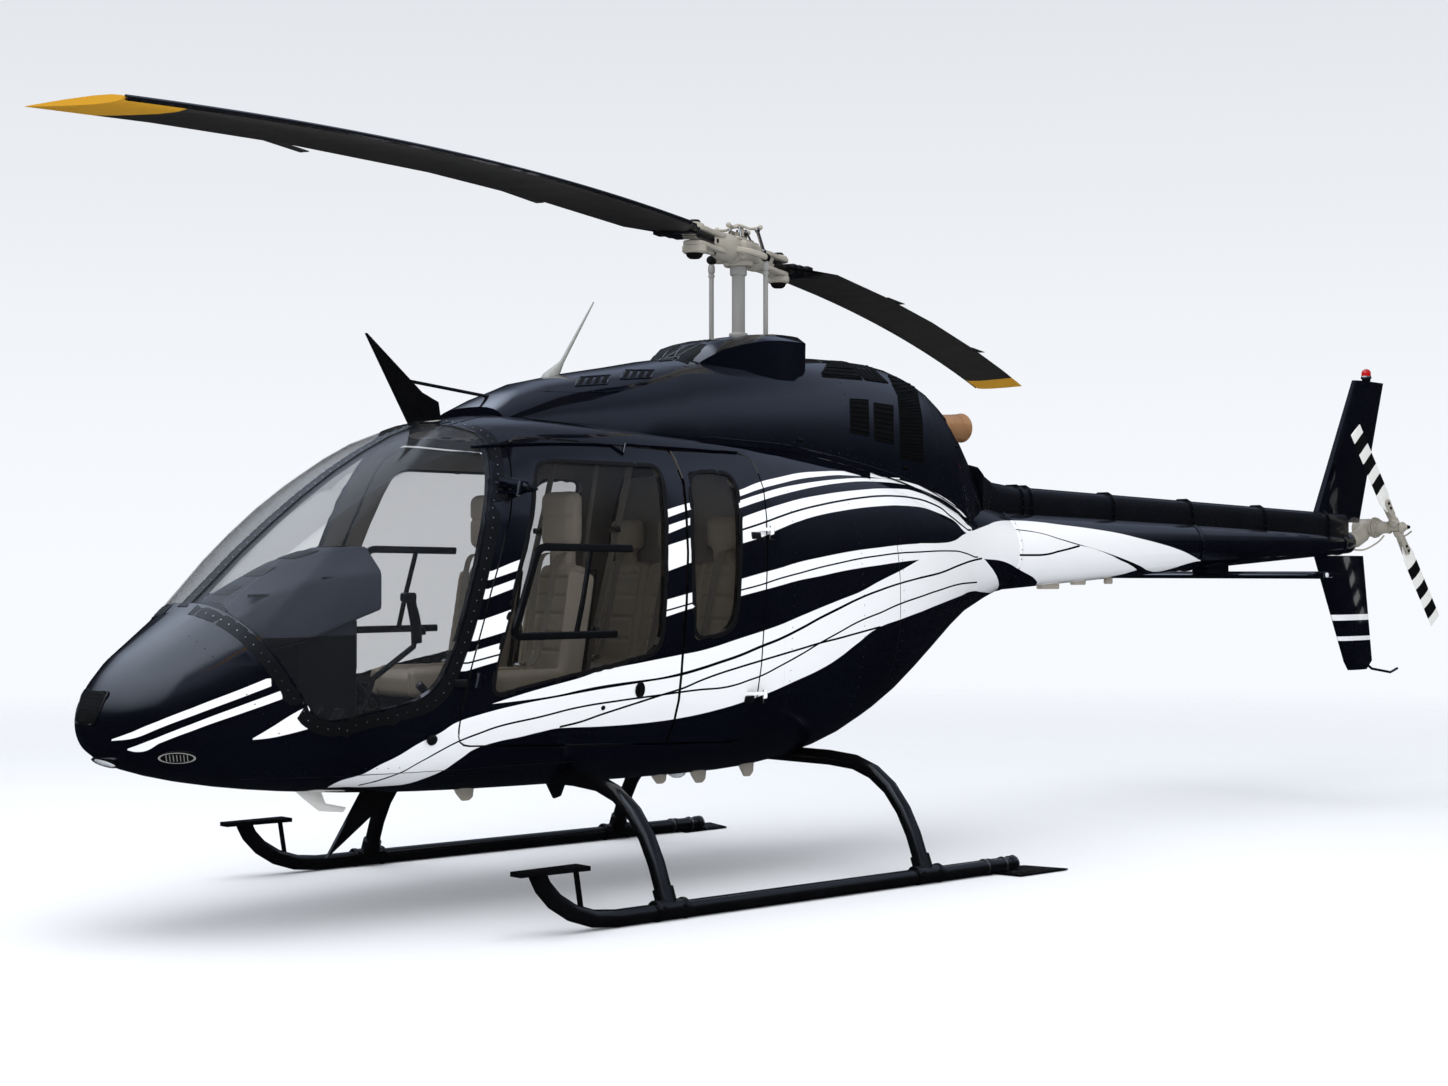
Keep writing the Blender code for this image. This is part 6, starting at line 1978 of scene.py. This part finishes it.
def hood_lids():
    """Lids along the hood's crown and pads on its shoulders."""
    bm = bmesh.new()
    for first, last, half in ((-2.985, -2.900, 0.070), (-2.830, -2.745, 0.075), (-2.660, -2.540, 0.080),
                              (-2.460, -2.390, 0.080)):
        slope = math.atan2(crown(last) - crown(first), last - first)
        middle = (first + last) / 2
        place = placed(0, middle, crown(middle)) @ Matrix.Rotation(slope, 4, "X")
        block(bm, (-half, (first - last) / 2, -0.002), (half, (last - first) / 2, 0.006), 0.004, 2, place)
    for side in (1, -1):
        x = side * 0.205
        for y, foot, top in ((-2.900, 1.385, 1.400), (-2.560, 1.455, 1.472)):
            block(bm, (x - 0.020, y - 0.055, foot), (x + 0.020, y + 0.055, top), 0.005, 2, FROM_MAST)
    emit("hood_lids", bm, console_abs)


def instruments():
    """Two screens and their knobs in the hood, one screen and a keypad on the pedestal."""
    glass, frames, knobs = bmesh.new(), bmesh.new(), bmesh.new()
    for x in (-0.108, 0.108):
        block(frames, (x - 0.096, -2.322, 1.355), (x + 0.096, -2.308, 1.500), 0.006, 3, FROM_MAST)
        block(glass, (x - 0.082, -2.310, 1.372), (x + 0.082, -2.304, 1.484), 0.003, 2, FROM_MAST)
        for k in range(5):
            turned(knobs, [(0, -0.002), (0.006, -0.002), (0.006, 0.008), (0.004, 0.010), (0, 0.010)],
                   facing(at(x - 0.070 + 0.035 * k, -2.310, 1.363), (0, 1, 0)), 10)
    block(frames, (-0.110, -2.382, 1.060), (0.110, -2.366, 1.280), 0.006, 3, FROM_MAST)
    block(glass, (-0.085, -2.368, 1.150), (0.085, -2.362, 1.262), 0.003, 2, FROM_MAST)
    for row in range(3):
        z = 1.075 + 0.024 * row
        for k in range(4):
            x = -0.075 + 0.050 * k
            block(knobs, (x - 0.014, -2.370, z), (x + 0.014, -2.360, z + 0.015), 0.002, 1, FROM_MAST)
    emit("instrument_bezels", frames, console_abs)
    emit("instrument_screens", glass, screen_glass)
    emit("instrument_knobs", knobs, trim_black)


def controls():
    """Grips and boots of the sticks, collective levers and pedals."""
    bm, boots, rods = bmesh.new(), bmesh.new(), bmesh.new()
    for c in (SEAT_X, -SEAT_X):
        path = flow([at(c, -2.165, 1.180), at(c, -2.176, 1.250), at(c, -2.192, 1.320),
                     at(c, -2.214, 1.386)], 4)
        scales = [0.8 + 0.35 * math.sin(math.pi * min(1.0, k / (len(path) - 1))) for k in range(len(path))]
        rod(bm, path, 0.021, 16, scales)
        block(bm, (c - 0.024, -2.250, 1.360), (c + 0.024, -2.185, 1.402), 0.012, 4, FROM_MAST)
        block(bm, (c - 0.012, -2.160, 1.215), (c + 0.012, -2.130, 1.245), 0.006, 3, FROM_MAST)
        turned(boots, [(0, 0.667), (0.075, 0.667), (0.078, 0.676), (0.060, 0.690), (0.062, 0.698),
                       (0.046, 0.710), (0.048, 0.718), (0.032, 0.732), (0.034, 0.740), (0.018, 0.756),
                       (0, 0.757)], placed(c, -2.305, 0), 32)
        lever = flow([at(c - 0.225, -1.720, 0.760), at(c - 0.225, -1.860, 0.850),
                      at(c - 0.225, -2.010, 0.985)], 5)
        rod(rods, lever, 0.012, 12)
        grip = [lever[-1].lerp(lever[-4], k / 6) for k in range(7)]
        rod(bm, grip, 0.019, 16)
        for dx in (-0.095, 0.095):
            place = placed(c + dx, -2.640, 0.870) @ Matrix.Rotation(math.radians(-25), 4, "X")
            block(boots, (-0.045, -0.008, -0.050), (0.045, 0.008, 0.050), 0.006, 3, place)
            for r in range(4):
                block(boots, (-0.040, 0.006, -0.040 + 0.024 * r), (0.040, 0.012, -0.032 + 0.024 * r), 0.002,
                      1, place)
            rod(rods, [at(c + dx, -2.620, 0.672), at(c + dx, -2.640, 0.840)], 0.010, 10)
    emit("control_grips", bm, trim_black)
    emit("control_boots", boots, rubber)
    emit("control_rods", rods, ground_steel)


def bulkhead():
    """Padded panel behind the bench."""
    bm = bmesh.new()
    outline = [(-0.560, 0.700), (0.560, 0.700), (0.600, 1.300), (0.520, 1.980), (-0.520, 1.980),
               (-0.600, 1.300)]
    slab(bm, rounded(outline, 0.12, 6), -0.008, 0.008, placed(0, -0.352, 0) @ QUARTER_X, 0.005, 2)
    emit("bulkhead_lining", bm, headliner)


def roof_console():
    """Console along the cabin roof with its air vents and lamps."""
    bm = bmesh.new()
    block(bm, (-0.120, -1.960, 2.105), (0.120, -1.440, 2.180), 0.024, 4, FROM_MAST)
    block(bm, (-0.070, -1.200, 2.150), (0.070, -0.600, 2.205), 0.020, 4, FROM_MAST)
    emit("roof_console", bm, headliner)
    bm, lamps = bmesh.new(), bmesh.new()
    for y in (-1.860, -1.700, -1.540):
        for x in (-0.060, 0.060):
            turned(bm, [(0, 0.002), (0.024, 0.002), (0.026, -0.004), (0.020, -0.008), (0.014, -0.002),
                        (0, -0.002)], placed(x, y, 2.106), 20)
    for y in (-1.050, -0.760):
        turned(lamps, [(0, 0.002), (0.026, 0.002), (0.022, -0.008), (0, -0.010)], placed(0, y, 2.152), 20)
    emit("roof_vents", bm, trim_black)
    emit("cabin_lamps", lamps, clear_lens)


def armrests():
    """A rail along the inside of each front door."""
    for side, body, port in FRONT_DOORS:
        bm = bmesh.new()
        skin = [beside(-1.900 + 0.055 * k, 0.900, side) for k in range(13)]
        sweep(bm, along_path([point - normal * 0.046 for point, normal in skin]),
              bar_profile(0.030, 0.110, 0.4))
        emit("door_armrest_" + port, bm, console_abs, body)


windshield_trim()
post_trim()
window_seals()
vent_frames()
hinges()
latches()
drip_rails()
seam_rivets()
panel_lines()
nose_intake()
chin_light()
side_grille()
rotor_head()
mast_details()
blade_details()
cowl_openings()
forward_slots()
cowl_joints()
fairing_details()
exhaust_details()
boom_fittings()
fin_lights()
tail_rotor_details()
tail_gearbox_fittings()
skid_details()
belly_antennas()
hinge_fairings()
seats()
harness()
hood_shell()
hood_lids()
instruments()
controls()
bulkhead()
roof_console()
armrests()
